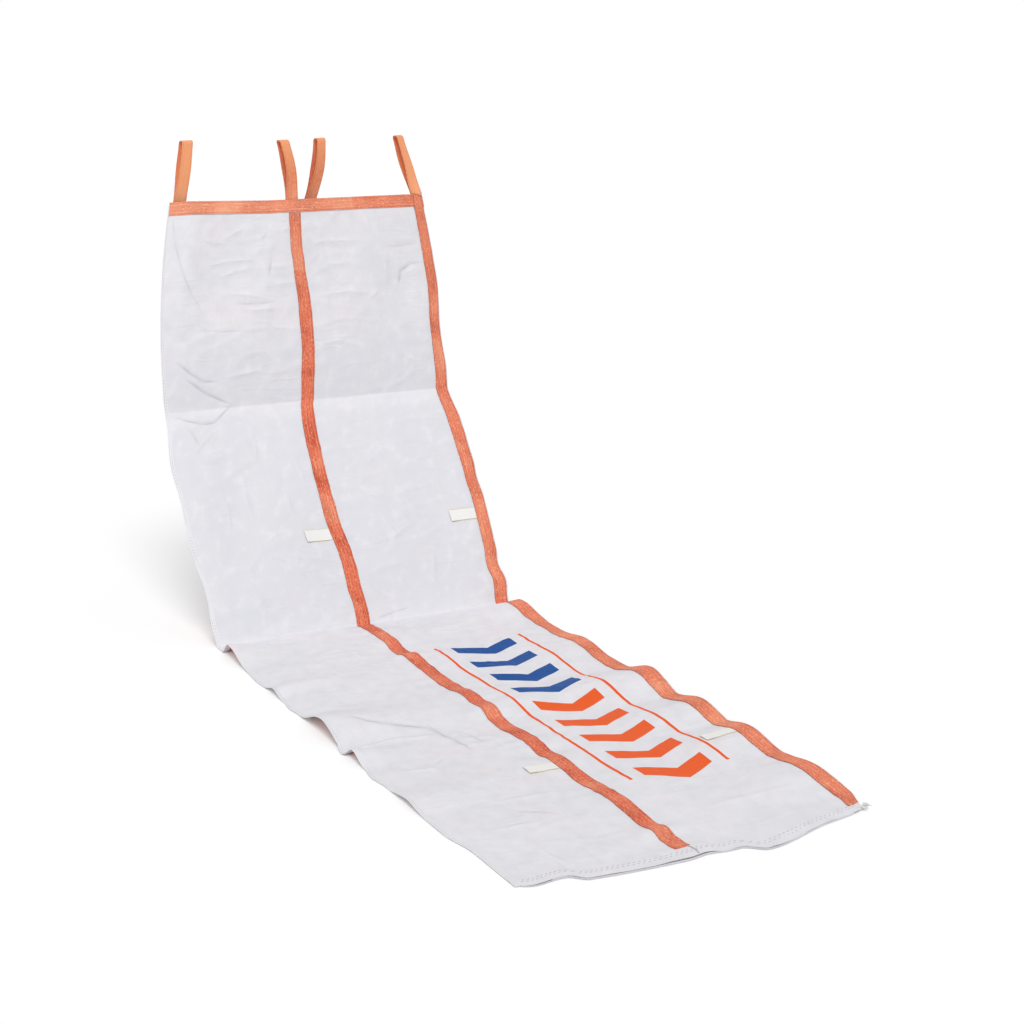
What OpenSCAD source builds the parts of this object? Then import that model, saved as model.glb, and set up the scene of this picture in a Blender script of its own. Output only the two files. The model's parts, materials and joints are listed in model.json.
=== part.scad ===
// Flexible rubble chute: a flattened tube of woven fabric with sewn webbing,
// hung up by four loops, folded at the packing creases and laid out along the floor.
// Units are millimetres. X runs across the tube, -Y out along the floor, +Z up.
// The origin is over the middle of the mouth, level with the crowns of the loops.

/* [Tube] */
// Width of the tube when it lies flat
tube_w = 890; // [640:10:1200]
// How much narrower the hem draws the mouth
mouth_draw = 107; // [0:1:160]
// How far the mouth sits to the right of the tube's middle
mouth_shift = 14; // [0:1:40]
// How far the mouth sags below its left corner
mouth_sag = 9; // [0:1:30]
// Distance from the left edge over which the mouth comes down
sag_reach = 330; // [100:10:600]
// Thickness of the woven fabric
fabric_t = 1; // [0.6:0.1:2]
// Clearance between two layers of cloth
layer_gap = 0.3; // [0.2:0.05:0.5]
// Space between front and back where the tube is creased
fold_gap = 2; // [1:0.1:5]

/* [Sections] */
// Length of the hung section, from the mouth to the first crease
upper_len = 590; // [400:10:900]
// Length of the leaning section, down to the crease at the floor
middle_len = 695; // [500:5:1000]
// Length of the floor section next to the leaning one
near_len = 865; // [600:5:1200]
// Length of the outlet section
far_len = 850; // [600:5:1200]
// Lean of the hung section off the vertical, in degrees
upper_lean = 11; // [0:1:25]
// Lean of the leaning section off the vertical, in degrees
middle_lean = 33; // [20:1:60]

/* [Fullness] */
// How far the front bellies out at the mouth
mouth_front = 30; // [10:1:60]
// How far the back bellies out at the mouth
mouth_back = 15; // [5:1:40]
// How far the front of the leaning section bellies out
middle_front = 14; // [6:1:40]
// How far the back of the leaning section bellies out
middle_back = 6; // [2:1:20]
// How far the top of the floor sections stands up
floor_full = 10; // [8:1:30]
// Width over which the sides of the tube close down to the edge
edge_w = 84; // [40:1:110]
// Pitch of the folds across the hung cloth
hang_pitch = 310; // [240:5:500]
// Pitch of the ripples along the floor
floor_pitch = 240; // [200:5:400]
// How far the middle of the hung cloth sways to either side
upper_sway = 15; // [0:1:30]
// How far the middle of the leaning cloth sways to the left
middle_sway = 22; // [0:1:30]
// How far the middle of the cloth on the floor drifts to the left
floor_drift = 30; // [0:1:50]
// How far the sides of the leaning cloth spread
middle_spread = 12; // [0:1:25]
// Height of the tallest crest along the left edge on the floor
left_crest = 32; // [0:1:60]
// Height of the tallest crest along the right edge on the floor
right_crest = 35; // [0:1:60]
// How far in from the edge a crest reaches
crest_reach = 360; // [200:10:400]
// Half the length of a crest
crest_half = 140; // [80:5:200]
// Height of the ridge that runs across the floor cloth before its crease
floor_ridge = 14; // [0:1:30]
// How far the middle of the outlet runs out past its corners
outlet_bow = 55; // [0:1:90]

/* [Webbing] */
// Width of the webbing
webbing_w = 40; // [25:1:60]
// Thickness of the webbing
webbing_t = 1.6; // [1:0.1:3]
// Distance of the side straps from the tube's edges
strap_edge = 3; // [2:1:20]
// How far the back strap sits to the right of its quarter of the way round
back_shift = 38; // [0:1:60]
// How far the straps stop short of the outlet
strap_stop = 44; // [5:1:60]

/* [Loops] */
// Height of the loops over the mouth
loop_h = 180; // [120:5:300]
// Radius of the loop's crown, outside
crown_r = 11; // [8:0.5:20]
// Sideways lean of the left loop at its crown
left_loop_lean = 26; // [-60:1:60]
// Sideways lean of the front loop at its crown
front_loop_lean = -22; // [-60:1:10]
// Sideways lean of the back loop at its crown
back_loop_lean = 30; // [-10:1:60]
// Sideways lean of the right loop at its crown
right_loop_lean = -52; // [-60:1:60]

/* [Tabs and hems] */
// Length of a tab, out from its strap
tab_len = 78; // [40:1:110]
// Width of a tab, along its strap
tab_w = 36; // [20:1:50]
// Thickness of a tab
tab_t = 1.2; // [0.6:0.1:2]
// Bare root of a tab, where it turns out from under the strap
tab_root = 3; // [2:0.5:6]
// Place of the tabs on the leaning section, down from the first crease
tab_middle_at = 413; // [200:1:440]
// Place of the tabs on the outlet section, out from its crease
tab_far_at = 335; // [200:1:500]
// Width of the side seam's allowance
seam_w = 12; // [6:1:20]
// Depth of the hem turned in at the outlet
outlet_hem = 38; // [15:1:50]

/* [Hidden] */
// Longest cell of the cloth grid
cell = 84;
// Ripple height as a share of the fullness
ripple_share = 0.34;
// Slant of the folds and ripples, as a share of the distance along them
slant_share = 0.3;
// Share of the ripple that is left at the seam edge on the floor
calm_share = 0.35;
// Places of the crests along the floor sections, and their heights beside the tallest, as shares
left_crest_shares = [0.26, 0.42];
left_height_shares = [0.4, 1];
right_crest_shares = [0.08, 0.27, 0.47, 0.61, 0.73, 0.88];
right_height_shares = [0.43, 0.43, 1, 0.71, 0.62, 0.4];
ridge_share = 0.45;
// Share of the side seam's allowance that is folded away at the mouth
seam_taper_share = 0.65;
// How early the leaning cloth sways and the floor cloth drifts: smaller is earlier
middle_sway_power = 0.65;
drift_power = 0.6;
// Roundness of the bowed outlet: smaller is squarer
bow_power = 0.6;
// Facets of a loop's crown and of its root
crown_steps = 16;
root_steps = 6;

cloth_color = [0.90, 0.90, 0.92];
webbing_color = [0.93, 0.44, 0.28];
tab_color = [0.95, 0.94, 0.88];
seam_color = [0.80, 0.80, 0.83];

// The sections, from the mouth to the outlet
UPPER = 0;
MIDDLE = 1;
NEAR = 2;
FAR = 3;
section_len = [upper_len, middle_len, near_len, far_len];
section_lean = [upper_lean, middle_lean, 90, 90];

// Straps sit about a quarter of the way round from one another
right_at = tube_w - strap_edge - webbing_w / 2;
front_at = right_at - tube_w / 2;
left_at = strap_edge + webbing_w / 2;
back_at = left_at + tube_w / 2 + back_shift;

// Heights of the layers at a crease, over the back of the tube
strap_rise = layer_gap + webbing_t;
fold_rise = 2 * fabric_t + fold_gap + strap_rise + layer_gap;
under_drop = strap_rise + layer_gap;
mouth_mid = fabric_t + (fold_gap + mouth_front - mouth_back) / 2;
floor_len = near_len + far_len;

// Directions down a section and out of its front, as Y and Z
function down(k) = [-sin(section_lean[k]), -cos(section_lean[k])];
function out(k) = [-cos(section_lean[k]), sin(section_lean[k])];

// Where each section starts, and the lines that the creases turn about, as Y and Z
upper_at = [0, -loop_h] - mouth_mid * out(UPPER);
upper_fold_at = upper_at + upper_len * down(UPPER) + fold_rise * out(UPPER);
middle_at = upper_fold_at - fold_rise * out(MIDDLE);
floor_fold_at = middle_at + middle_len * down(MIDDLE) + fold_rise * out(MIDDLE);
near_at = floor_fold_at - fold_rise * out(NEAR);
far_at = near_at + near_len * down(NEAR);
end_fold_at = far_at - under_drop * out(FAR);
section_at = [upper_at, middle_at, near_at, far_at];

// How the mouth draws the cloth in, and how the hung and leaning cloth sways and spreads
function arch(k, s) = sin(180 * s / section_len[k]);
function drawn(k, s) = k == UPPER ? pow(1 - s / upper_len, 2) : 0;
function along(k, s) = k == FAR ? near_len + s : s;
function upper_swing(s) = -upper_sway * cos(270 * s / upper_len);
function middle_swing(s) = -middle_sway * sin(180 * pow(s / middle_len, middle_sway_power));
function floor_swing(s) = -floor_drift * pow(s / floor_len, drift_power);
function hung_swing(k, s) = k == UPPER ? upper_swing(s) : middle_swing(s);
function swing(k, s) = k < NEAR ? hung_swing(k, s) : floor_swing(along(k, s));
function spread(k, s) = k == MIDDLE ? 2 * middle_spread * arch(k, s) : 0;
function width(k, s) = tube_w + spread(k, s) - mouth_draw * drawn(k, s);
function inset(k, u, s) = u < 0 ? u * (1 - seam_taper_share * drawn(k, s)) : u;
function mid_share(u) = sin(180 * min(1, max(0, u / tube_w)));
function centre(k, u, s) = mouth_shift * drawn(k, s) + swing(k, s) * mid_share(u);
function across(k, u, s) = (inset(k, u, s) / tube_w - 0.5) * width(k, s) + centre(k, u, s);

// Crests and the ridge that lift the cloth off the floor, and the bowed outlet
function crest(x) = abs(x) < crest_half ? (1 + cos(180 * x / crest_half)) / 2 : 0;
function crests(s, places, heights) = [
    for (i = [0 : len(places) - 1]) heights[i] * crest(s - places[i] * floor_len)
];
function edge_share(x) = pow(max(0, 1 - x / crest_reach), 2);
function left_lift(u, s) = left_crest * edge_share(u)
    * max(crests(s, left_crest_shares, left_height_shares));
function right_lift(u, s) = right_crest * edge_share(tube_w - u)
    * max(crests(s, right_crest_shares, right_height_shares));
function ridge_lift(u, s) = floor_ridge * mid_share(u) * crest(s - ridge_share * floor_len);
function floor_lift(u, s) = left_lift(u, s) + right_lift(u, s) + ridge_lift(u, s);
function lift(k, u, s) = k < NEAR ? 0 : floor_lift(u, along(k, s));
function bow(k, u, s) = k == FAR ? outlet_bow * pow(mid_share(u), bow_power) * pow(s / far_len, 2) : 0;

// How far the mouth's sag and the outlet's bow carry the cloth along its section
function sag(k, u, s) = mouth_sag * drawn(k, s) * min(1, max(0, u / sag_reach));
function carry(k, u, s) = s + sag(k, u, s) + bow(k, u, s);

// A point of the cloth: u across from the left edge, s down the section, d out from its back
function yz(k, s, d) = section_at[k] + s * down(k) + d * out(k);
function at(k, u, s, d) = [across(k, u, s), each yz(k, carry(k, u, s), d + lift(k, u, s))];

// How the cloth bellies along a section: nothing at a crease, full at an open end
function belly(k, s) = k == UPPER ? 1 - s / upper_len : k == FAR ? sin(90 * s / far_len) : arch(k, s);
front_full = [mouth_front, middle_front, floor_full, floor_full];
back_full = [mouth_back, middle_back, 0, 0];

// Folds of the hung cloth, ripples of the cloth on the floor, and how the edges close
function hung_wave(u, s) = sin(360 * (u + slant_share * s) / hang_pitch);
function calm(u) = calm_share + (1 - calm_share) * u / tube_w;
function floor_wave(u, s) = calm(u) * sin(360 * (s + slant_share * u) / floor_pitch);
function wave(k, u, s) = k < NEAR ? arch(k, s) * hung_wave(u, s) : floor_wave(u, along(k, s));
function swell(k, u, s) = belly(k, s) * (1 + ripple_share * wave(k, u, s));
function close_in(x) = sin(90 * min(1, max(0, x / edge_w)));
function open_share(u) = close_in(u) * close_in(tube_w - u);

// Faces of the front and back panels
function front_gap(k, u, s) = fold_gap - layer_gap + front_full[k] * swell(k, u, s);
function front_in(k, u, s) = fabric_t + layer_gap + open_share(u) * front_gap(k, u, s);
function front_out(k, u, s) = front_in(k, u, s) + fabric_t;
function back_in(k, u, s) = fabric_t - open_share(u) * back_full[k] * swell(k, u, s);
function back_out(k, u, s) = back_in(k, u, s) - fabric_t;

// Grid lines through a list of keys, no further apart than a cell
function steps(a, b) = let (n = max(1, ceil((b - a) / cell))) [for (i = [0 : n - 1]) a + (b - a) * i / n];
function key_steps(keys) = [for (i = [1 : len(keys) - 1]) each steps(keys[i - 1], keys[i])];
function lines(keys) = concat(key_steps(keys), [keys[len(keys) - 1]]);
function strap_keys(u) = [u - webbing_w / 2, u + webbing_w / 2];
function tab_keys(u) = let (root = u - webbing_w / 2 - tab_root) [root - tab_len, root];
function part_lines(all, a, b) = concat([a], [for (x = all) if (x > a && x < b) x], [b]);

edge_keys = [0, edge_w / 3, edge_w];
front_strap_keys = [each tab_keys(front_at), each strap_keys(front_at)];
right_strap_keys = [each tab_keys(right_at), each strap_keys(right_at)];
front_lines = lines([each edge_keys, each front_strap_keys, each right_strap_keys, tube_w]);
back_edge_keys = [tube_w - edge_w, tube_w - edge_w / 3, tube_w];
back_lines = lines([0, each strap_keys(left_at), each strap_keys(back_at), each back_edge_keys]);

function tab_at(k) = k == MIDDLE ? tab_middle_at : tab_far_at;
function tab_span(k) = [tab_at(k) - tab_w / 2, tab_at(k) + tab_w / 2];
function start(k) = k == UPPER ? 0 : layer_gap;
function stop(k) = k == FAR ? far_len : section_len[k] - layer_gap;
function inner_keys(k) = k == UPPER ? [webbing_w] : k == NEAR ? [] : tab_span(k);
function hem_keys(k) = k == FAR ? [far_len - outlet_hem] : [];
function along_lines(k) = lines([start(k), each inner_keys(k), each hem_keys(k), stop(k)]);
function strap_start(k) = k == UPPER ? webbing_w + layer_gap : layer_gap;
function strap_end(k) = k == FAR ? far_len - strap_stop : stop(k);
function strap_lines(k) = part_lines(along_lines(k), strap_start(k), strap_end(k));

// Two triangles across a cell with the corners a, b, c and d, and the same turned over
function quad(a, b, c, d) = [[a, b, c], [a, c, d]];
function back_quad(a, b, c, d) = [[a, c, b], [a, d, c]];

// A closed sheet of section k between two faces, given on the same grid of u and s lines
module sheet(k, us, ss, low, high) {
    n = len(us);
    m = len(ss);
    points = [for (face = [low, high]) for (s = ss) for (u = us) at(k, u, s, face(u, s))];
    function id(side, j, i) = (side * m + j) * n + i;
    skins = [for (j = [0 : m - 2]) for (i = [0 : n - 2]) each concat(
        quad(id(1, j, i), id(1, j, i + 1), id(1, j + 1, i + 1), id(1, j + 1, i)),
        back_quad(id(0, j, i), id(0, j, i + 1), id(0, j + 1, i + 1), id(0, j + 1, i))
    )];
    ends = [for (i = [0 : n - 2]) each concat(
        quad(id(0, 0, i), id(0, 0, i + 1), id(1, 0, i + 1), id(1, 0, i)),
        back_quad(id(0, m - 1, i), id(0, m - 1, i + 1), id(1, m - 1, i + 1), id(1, m - 1, i))
    )];
    sides = [for (j = [0 : m - 2]) each concat(
        back_quad(id(0, j, 0), id(0, j + 1, 0), id(1, j + 1, 0), id(1, j, 0)),
        quad(id(0, j, n - 1), id(0, j + 1, n - 1), id(1, j + 1, n - 1), id(1, j, n - 1))
    )];
    polyhedron(points, concat(skins, ends, sides), convexity = 10);
}

// Front fabric of a section
module front_panel(k) {
    low = function (u, s) front_in(k, u, s);
    high = function (u, s) front_out(k, u, s);
    color(cloth_color) sheet(k, front_lines, along_lines(k), low, high);
}

// Back fabric of a section, which lies on the floor further down
module back_panel(k) {
    low = function (u, s) back_out(k, u, s);
    high = function (u, s) back_in(k, u, s);
    color(cloth_color) sheet(k, back_lines, along_lines(k), low, high);
}

// Webbing sewn down the front of a section, centred at u
module front_strap(k, at_u) {
    low = function (u, s) front_out(k, u, s) + layer_gap;
    high = function (u, s) front_out(k, u, s) + strap_rise;
    color(webbing_color) sheet(k, strap_keys(at_u), strap_lines(k), low, high);
}

// Webbing sewn down the back of a section, centred at u
module back_strap(k, at_u) {
    low = function (u, s) back_out(k, u, s) - strap_rise;
    high = function (u, s) back_out(k, u, s) - layer_gap;
    color(webbing_color) sheet(k, strap_keys(at_u), strap_lines(k), low, high);
}

// Webbing sewn round the mouth, front half
module mouth_hem_front() {
    low = function (u, s) front_out(UPPER, u, s) + layer_gap;
    high = function (u, s) front_out(UPPER, u, s) + strap_rise;
    color(webbing_color) sheet(UPPER, front_lines, [0, webbing_w], low, high);
}

// Webbing sewn round the mouth, back half
module mouth_hem_back() {
    low = function (u, s) back_out(UPPER, u, s) - strap_rise;
    high = function (u, s) back_out(UPPER, u, s) - layer_gap;
    color(webbing_color) sheet(UPPER, back_lines, [0, webbing_w], low, high);
}

// Fabric turned in and sewn at the outlet, top layer
module outlet_hem_front() {
    us = part_lines(front_lines, edge_w, tab_keys(right_at)[1]);
    low = function (u, s) front_in(FAR, u, s) - layer_gap - fabric_t;
    high = function (u, s) front_in(FAR, u, s) - layer_gap;
    color(cloth_color) sheet(FAR, us, [far_len - outlet_hem, far_len], low, high);
}

// Fabric turned in and sewn at the outlet, bottom layer
module outlet_hem_back() {
    us = part_lines(back_lines, edge_w, tube_w - edge_w);
    low = function (u, s) back_in(FAR, u, s) + layer_gap;
    high = function (u, s) back_in(FAR, u, s) + layer_gap + fabric_t;
    color(cloth_color) sheet(FAR, us, [far_len - outlet_hem, far_len], low, high);
}

// Allowance of the seam down the left edge
module side_seam(k) {
    low = function (u, s) 0;
    high = function (u, s) 2 * fabric_t + layer_gap;
    color(seam_color) sheet(k, [-seam_w, -layer_gap], along_lines(k), low, high);
}

// Small tab that comes out from under a front strap and lies on the fabric
module tab(k, at_u) {
    low = function (u, s) front_out(k, u, s) + layer_gap;
    high = function (u, s) front_out(k, u, s) + layer_gap + tab_t;
    color(tab_color) sheet(k, tab_keys(at_u), tab_span(k), low, high);
}

// Middle of the edge that a loop stands on, as a height out from the back of the tube
half_edge = (fabric_t + strap_rise) / 2;
function front_edge(u) = front_in(UPPER, u, 0) + half_edge;
function back_edge(u) = back_in(UPPER, u, 0) - half_edge;

// Root of a loop: it turns on the top of the hem
root_r = webbing_t + layer_gap / 2;
function root_at(u, d) = at(UPPER, u, -(root_r + layer_gap), d);

// Arc of radius r about a point at height z, as Y and Z
function arc(z, r, from, turn, count) = [
    for (i = [0 : count]) let (t = from + turn * i / count) [r * cos(t), z + r * sin(t)]
];

// Outline of a teardrop between a root circle and a crown circle, as Y and Z
function drop(root_z, root, top_z, top) = let (a = asin((top - root) / (top_z - root_z))) concat(
    arc(top_z, top, -a, 180 + 2 * a, crown_steps),
    arc(root_z, root, 180 + a, 180 - 2 * a, root_steps)
);

// Webbing loop: a strip folded over, with its ends sewn into the hem
module loop(u, d, lean) {
    crown_z = loop_h - crown_r;
    outer = drop(0, root_r, crown_z, crown_r);
    inner = drop(2 * root_r, layer_gap, crown_z, crown_r - webbing_t);
    n = len(outer);
    sides = [-webbing_w / 2, webbing_w / 2];
    function leant(x, p) = [x + lean * p[1] / crown_z, each p];
    points = [for (ring = [outer, inner]) for (x = sides) for (p = ring) leant(x, p)];
    faces = [for (i = [0 : n - 1]) let (j = (i + 1) % n) each concat(
        quad(i, n + i, n + j, j),
        quad(2 * n + i, 2 * n + j, 3 * n + j, 3 * n + i),
        quad(i, j, 2 * n + j, 2 * n + i),
        quad(n + i, 3 * n + i, 3 * n + j, n + j)
    )];
    color(webbing_color) translate(root_at(u, d)) polyhedron(points, faces, convexity = 6);
}

front_panel(UPPER);  // upper_front_panel
back_panel(UPPER);  // upper_back_panel
back_strap(UPPER, left_at);  // upper_left_strap
front_strap(UPPER, front_at);  // upper_front_strap
back_strap(UPPER, back_at);  // upper_back_strap
front_strap(UPPER, right_at);  // upper_right_strap
side_seam(UPPER);  // upper_side_seam
mouth_hem_front();
mouth_hem_back();

front_panel(MIDDLE);  // middle_front_panel
back_panel(MIDDLE);  // middle_back_panel
back_strap(MIDDLE, left_at);  // middle_left_strap
front_strap(MIDDLE, front_at);  // middle_front_strap
back_strap(MIDDLE, back_at);  // middle_back_strap
front_strap(MIDDLE, right_at);  // middle_right_strap
side_seam(MIDDLE);  // middle_side_seam

front_panel(NEAR);  // near_top_panel
back_panel(NEAR);  // near_bottom_panel
back_strap(NEAR, left_at);  // near_left_strap
front_strap(NEAR, front_at);  // near_front_strap
back_strap(NEAR, back_at);  // near_back_strap
front_strap(NEAR, right_at);  // near_right_strap
side_seam(NEAR);  // near_side_seam

front_panel(FAR);  // far_top_panel
back_panel(FAR);  // far_bottom_panel
back_strap(FAR, left_at);  // far_left_strap
front_strap(FAR, front_at);  // far_front_strap
back_strap(FAR, back_at);  // far_back_strap
front_strap(FAR, right_at);  // far_right_strap
side_seam(FAR);  // far_side_seam
outlet_hem_front();
outlet_hem_back();

loop(left_at, back_edge(left_at), left_loop_lean);  // left_loop
loop(front_at, front_edge(front_at), front_loop_lean);  // front_loop
loop(back_at, back_edge(back_at), back_loop_lean);  // back_loop
loop(right_at, front_edge(right_at), right_loop_lean);  // right_loop

tab(MIDDLE, front_at);  // middle_front_tab
tab(MIDDLE, right_at);  // middle_right_tab
tab(FAR, front_at);  // far_front_tab
tab(FAR, right_at);  // far_right_tab
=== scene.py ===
# %% [markdown]
# A rubble chute is a long tube of coated woven fabric. Four webbing loops hang it from a window or a
# scaffold, its upper half slopes down, and its lower half lies on the ground. The packed CAD frame holds
# every piece at its right place and size, so this lesson only dresses it: each stiff CAD sheet is replaced
# by real cloth that is built from the same map of the tube.

# %% Load the frame
import json
import math

import bpy
import numpy as np
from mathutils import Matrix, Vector, noise


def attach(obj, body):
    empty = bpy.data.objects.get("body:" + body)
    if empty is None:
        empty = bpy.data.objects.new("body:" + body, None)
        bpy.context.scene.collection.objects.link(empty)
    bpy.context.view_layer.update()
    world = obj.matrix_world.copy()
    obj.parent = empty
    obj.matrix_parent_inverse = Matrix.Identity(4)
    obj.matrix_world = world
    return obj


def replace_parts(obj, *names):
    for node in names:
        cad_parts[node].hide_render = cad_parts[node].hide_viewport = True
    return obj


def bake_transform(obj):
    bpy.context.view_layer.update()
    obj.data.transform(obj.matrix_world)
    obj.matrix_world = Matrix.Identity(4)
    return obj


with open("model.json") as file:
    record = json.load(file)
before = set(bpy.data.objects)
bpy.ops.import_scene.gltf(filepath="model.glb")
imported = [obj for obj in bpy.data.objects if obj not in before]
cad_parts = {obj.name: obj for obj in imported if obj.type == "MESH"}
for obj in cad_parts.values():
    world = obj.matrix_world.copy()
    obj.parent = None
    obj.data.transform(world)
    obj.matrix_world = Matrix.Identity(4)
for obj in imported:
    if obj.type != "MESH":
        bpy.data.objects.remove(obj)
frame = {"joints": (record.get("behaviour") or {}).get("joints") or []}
joints = {row["name"]: row for row in frame["joints"]}
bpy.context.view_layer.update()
MM = 0.001

# %% [markdown]
# Cloth is easiest to shape when every point has an address on the flat cut. Here u is the distance from the
# left edge and t the distance from the mouth. The tube has four sections with a fold between each two: an
# upper one that hangs, a middle one that slopes, and two on the floor. Each section only needs a start point
# and a lean, and the starts follow from one another, as the hinges of the CAD model do.

# %% Sizes of the flat cut and the chain of sections
TUBE_W = 0.890
LENGTHS = np.array([0.590, 0.695, 0.865, 0.850])
STARTS = np.concatenate([[0.0], np.cumsum(LENGTHS)])
TOTAL = STARTS[-1]
FLOOR_LEN = LENGTHS[2] + LENGTHS[3]
BEND_AT = STARTS[2]
LEANS = np.radians([11, 33, 90, 90])
FABRIC_T = 1.0 * MM
LAYER_GAP = 0.3 * MM
FOLD_GAP = 2.0 * MM
WEBBING_W = 40 * MM
WEBBING_T = 1.6 * MM
STRAP_RISE = WEBBING_T + LAYER_GAP
FOLD_RISE = 2 * FABRIC_T + FOLD_GAP + STRAP_RISE + LAYER_GAP
MOUTH_AT = (9.325 * MM, -181.813 * MM)
FLOOR_Z = -1350.77 * MM

DOWN = np.stack([-np.sin(LEANS), -np.cos(LEANS)], 1)
OUT = np.stack([-np.cos(LEANS), np.sin(LEANS)], 1)
section_at = [np.array(MOUTH_AT)]
for k in range(3):
    section_at.append(section_at[k] + LENGTHS[k] * DOWN[k] + FOLD_RISE * (OUT[k] - OUT[k + 1]))
print("sections start at", [tuple(np.round(p, 4)) for p in section_at])

# %% [markdown]
# The tube isn't a flat ribbon. The loops draw the mouth in, the sections sway a little, the free edges on the
# floor stand up in crests, and the outlet bows forward. Each of these is one short function of the address,
# so that fabric, webbing, seam and stitches all take the same shape and never drift apart.

# %% Small shapes that the map is made of
def ease(x):
    x = np.clip(x, 0, 1)
    return x * x * (3 - 2 * x)


def hump(x, half):
    return np.where(np.abs(x) < half, (1 + np.cos(np.pi * x / half)) / 2, 0)


def mid_share(u):
    return np.sin(np.pi * np.clip(u / TUBE_W, 0, 1))


def near_left(u, reach):
    return np.clip(1 - np.maximum(u, 0) / reach, 0, 1) ** 2


def near_right(u, reach):
    return near_left(TUBE_W - u, reach)


def arch(k, s):
    return np.sin(np.pi * s / LENGTHS[k])


def drawn(k, s):
    return (1 - s / LENGTHS[0]) ** 2 if k == 0 else 0 * s


# %% Sideways places: the drawn mouth, the sway and the wandering edges
MOUTH_DRAW, MOUTH_SHIFT = 107 * MM, 14 * MM
UPPER_SWAY, MIDDLE_SWAY, FLOOR_DRIFT, MIDDLE_SPREAD = 15 * MM, 22 * MM, 30 * MM, 12 * MM
SEAM_TAPER = 0.65
LEFT_WANDER = [(-10, 745, 130), (9, 1130, 120), (-5, 1600, 90), (-5, 1830, 50), (-9, 2170, 45), (-7, 2346, 60)]
MIDDLE_WANDER = [(10, 1095, 150), (8, 1235, 70)]
RIGHT_WANDER = [(-13, 430, 190), (-10, 605, 100), (-4, 890, 60), (-5, 1160, 50), (9, 1222, 60)]
LEFT_TUCK, LEFT_TUCK_FROM, LEFT_TUCK_OVER = 15 * MM, 2.700, 0.12
RIGHT_TUCK, RIGHT_TUCK_FROM, RIGHT_TUCK_OVER = 25 * MM, 2.915, 0.085
WANDER_REACH, TUCK_REACH = 0.30, 0.18


def sway(k, s):
    if k == 0:
        return -UPPER_SWAY * np.cos(1.5 * np.pi * s / LENGTHS[0])
    if k == 1:
        return -MIDDLE_SWAY * np.sin(np.pi * (s / LENGTHS[1]) ** 0.65)
    return -FLOOR_DRIFT * (floor_s(k, s) / FLOOR_LEN) ** 0.6


def floor_s(k, s):
    return s + (LENGTHS[2] if k == 3 else 0)


def drift(t, table):
    return sum(size * MM * hump(t - at * MM, half * MM) for size, at, half in table)


def wander(k, u, s):
    t = STARTS[k] + s
    left = drift(t, LEFT_WANDER) + LEFT_TUCK * ease((t - LEFT_TUCK_FROM) / LEFT_TUCK_OVER)
    right = drift(t, RIGHT_WANDER)
    tuck = RIGHT_TUCK * ease((t - RIGHT_TUCK_FROM) / RIGHT_TUCK_OVER)
    middle = drift(t, MIDDLE_WANDER) * mid_share(u) ** 2
    edges = near_left(u, WANDER_REACH) * left + middle + near_right(u, WANDER_REACH) * right
    return edges - near_right(u, TUCK_REACH) * tuck


def across(k, u, s):
    width = TUBE_W - MOUTH_DRAW * drawn(k, s) + (2 * MIDDLE_SPREAD * arch(k, s) if k == 1 else 0)
    inset = np.where(u < 0, u * (1 - SEAM_TAPER * drawn(k, s)), u)
    place = (inset / TUBE_W - 0.5) * width + MOUTH_SHIFT * drawn(k, s)
    return place + sway(k, s) * mid_share(u) + wander(k, u, s)


# %% Heights: crests of the free edges on the floor, and the bow of the outlet
LEFT_CREST, RIGHT_CREST, FLOOR_RIDGE, OUTLET_BOW = 37 * MM, 35 * MM, 14 * MM, 55 * MM
CREST_REACH, CREST_HALF = 0.360, 0.140
LEFT_CRESTS = [(0.246, 0.36, 0.060), (0.434, 1.0, 0.145), (0.719, 0.30, 0.100)]
RIGHT_CRESTS = [(at, share, CREST_HALF) for at, share in
                [(0.08, 0.43), (0.27, 0.43), (0.47, 1.0), (0.61, 0.71), (0.73, 0.62), (0.88, 0.40)]]
RIDGE_AT = 0.45
LEFT_WAVES = [(33 * MM, 0.085, 0.052, 0.150), (22 * MM, 0.930, 0.040, 0.080)]
OUTLET_WAVES = [(36 * MM, 0.585, 0.050, 0.190), (-8 * MM, 0.460, 0.050, 0.050), (-24 * MM, 0.125, 0.110, 0.040)]
LEFT_WAVE_REACH = 0.21
STEP_LIFT, STEP_FROM, STEP_OVER, STEP_FALL = 15 * MM, 0.034, 0.028, 0.130
STEP_EDGE, STEP_EDGE_OVER = 0.70, 0.11
RIGHT_TILT, TILT_REACH, TILT_FROM, TILT_OVER, TILT_TO, TILT_FALL = 7 * MM, 0.06, 0.03, 0.05, 1.67, 0.1
RAGGED_FROM, RAGGED_OVER = 0.66, 0.19
MOUTH_SAG, SAG_REACH = 9 * MM, 0.330


def crests(along, table):
    return np.max([share * hump(along - at * FLOOR_LEN, half) for at, share, half in table], 0)


def steep_wave(along, height, at, rise, fall):
    return height * np.where(along < at, hump(along - at, rise), hump(along - at, fall))


def step(along):
    x = along - STEP_FROM
    return ease(x / STEP_OVER) * (1 - ease((x - STEP_OVER) / STEP_FALL))


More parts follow.
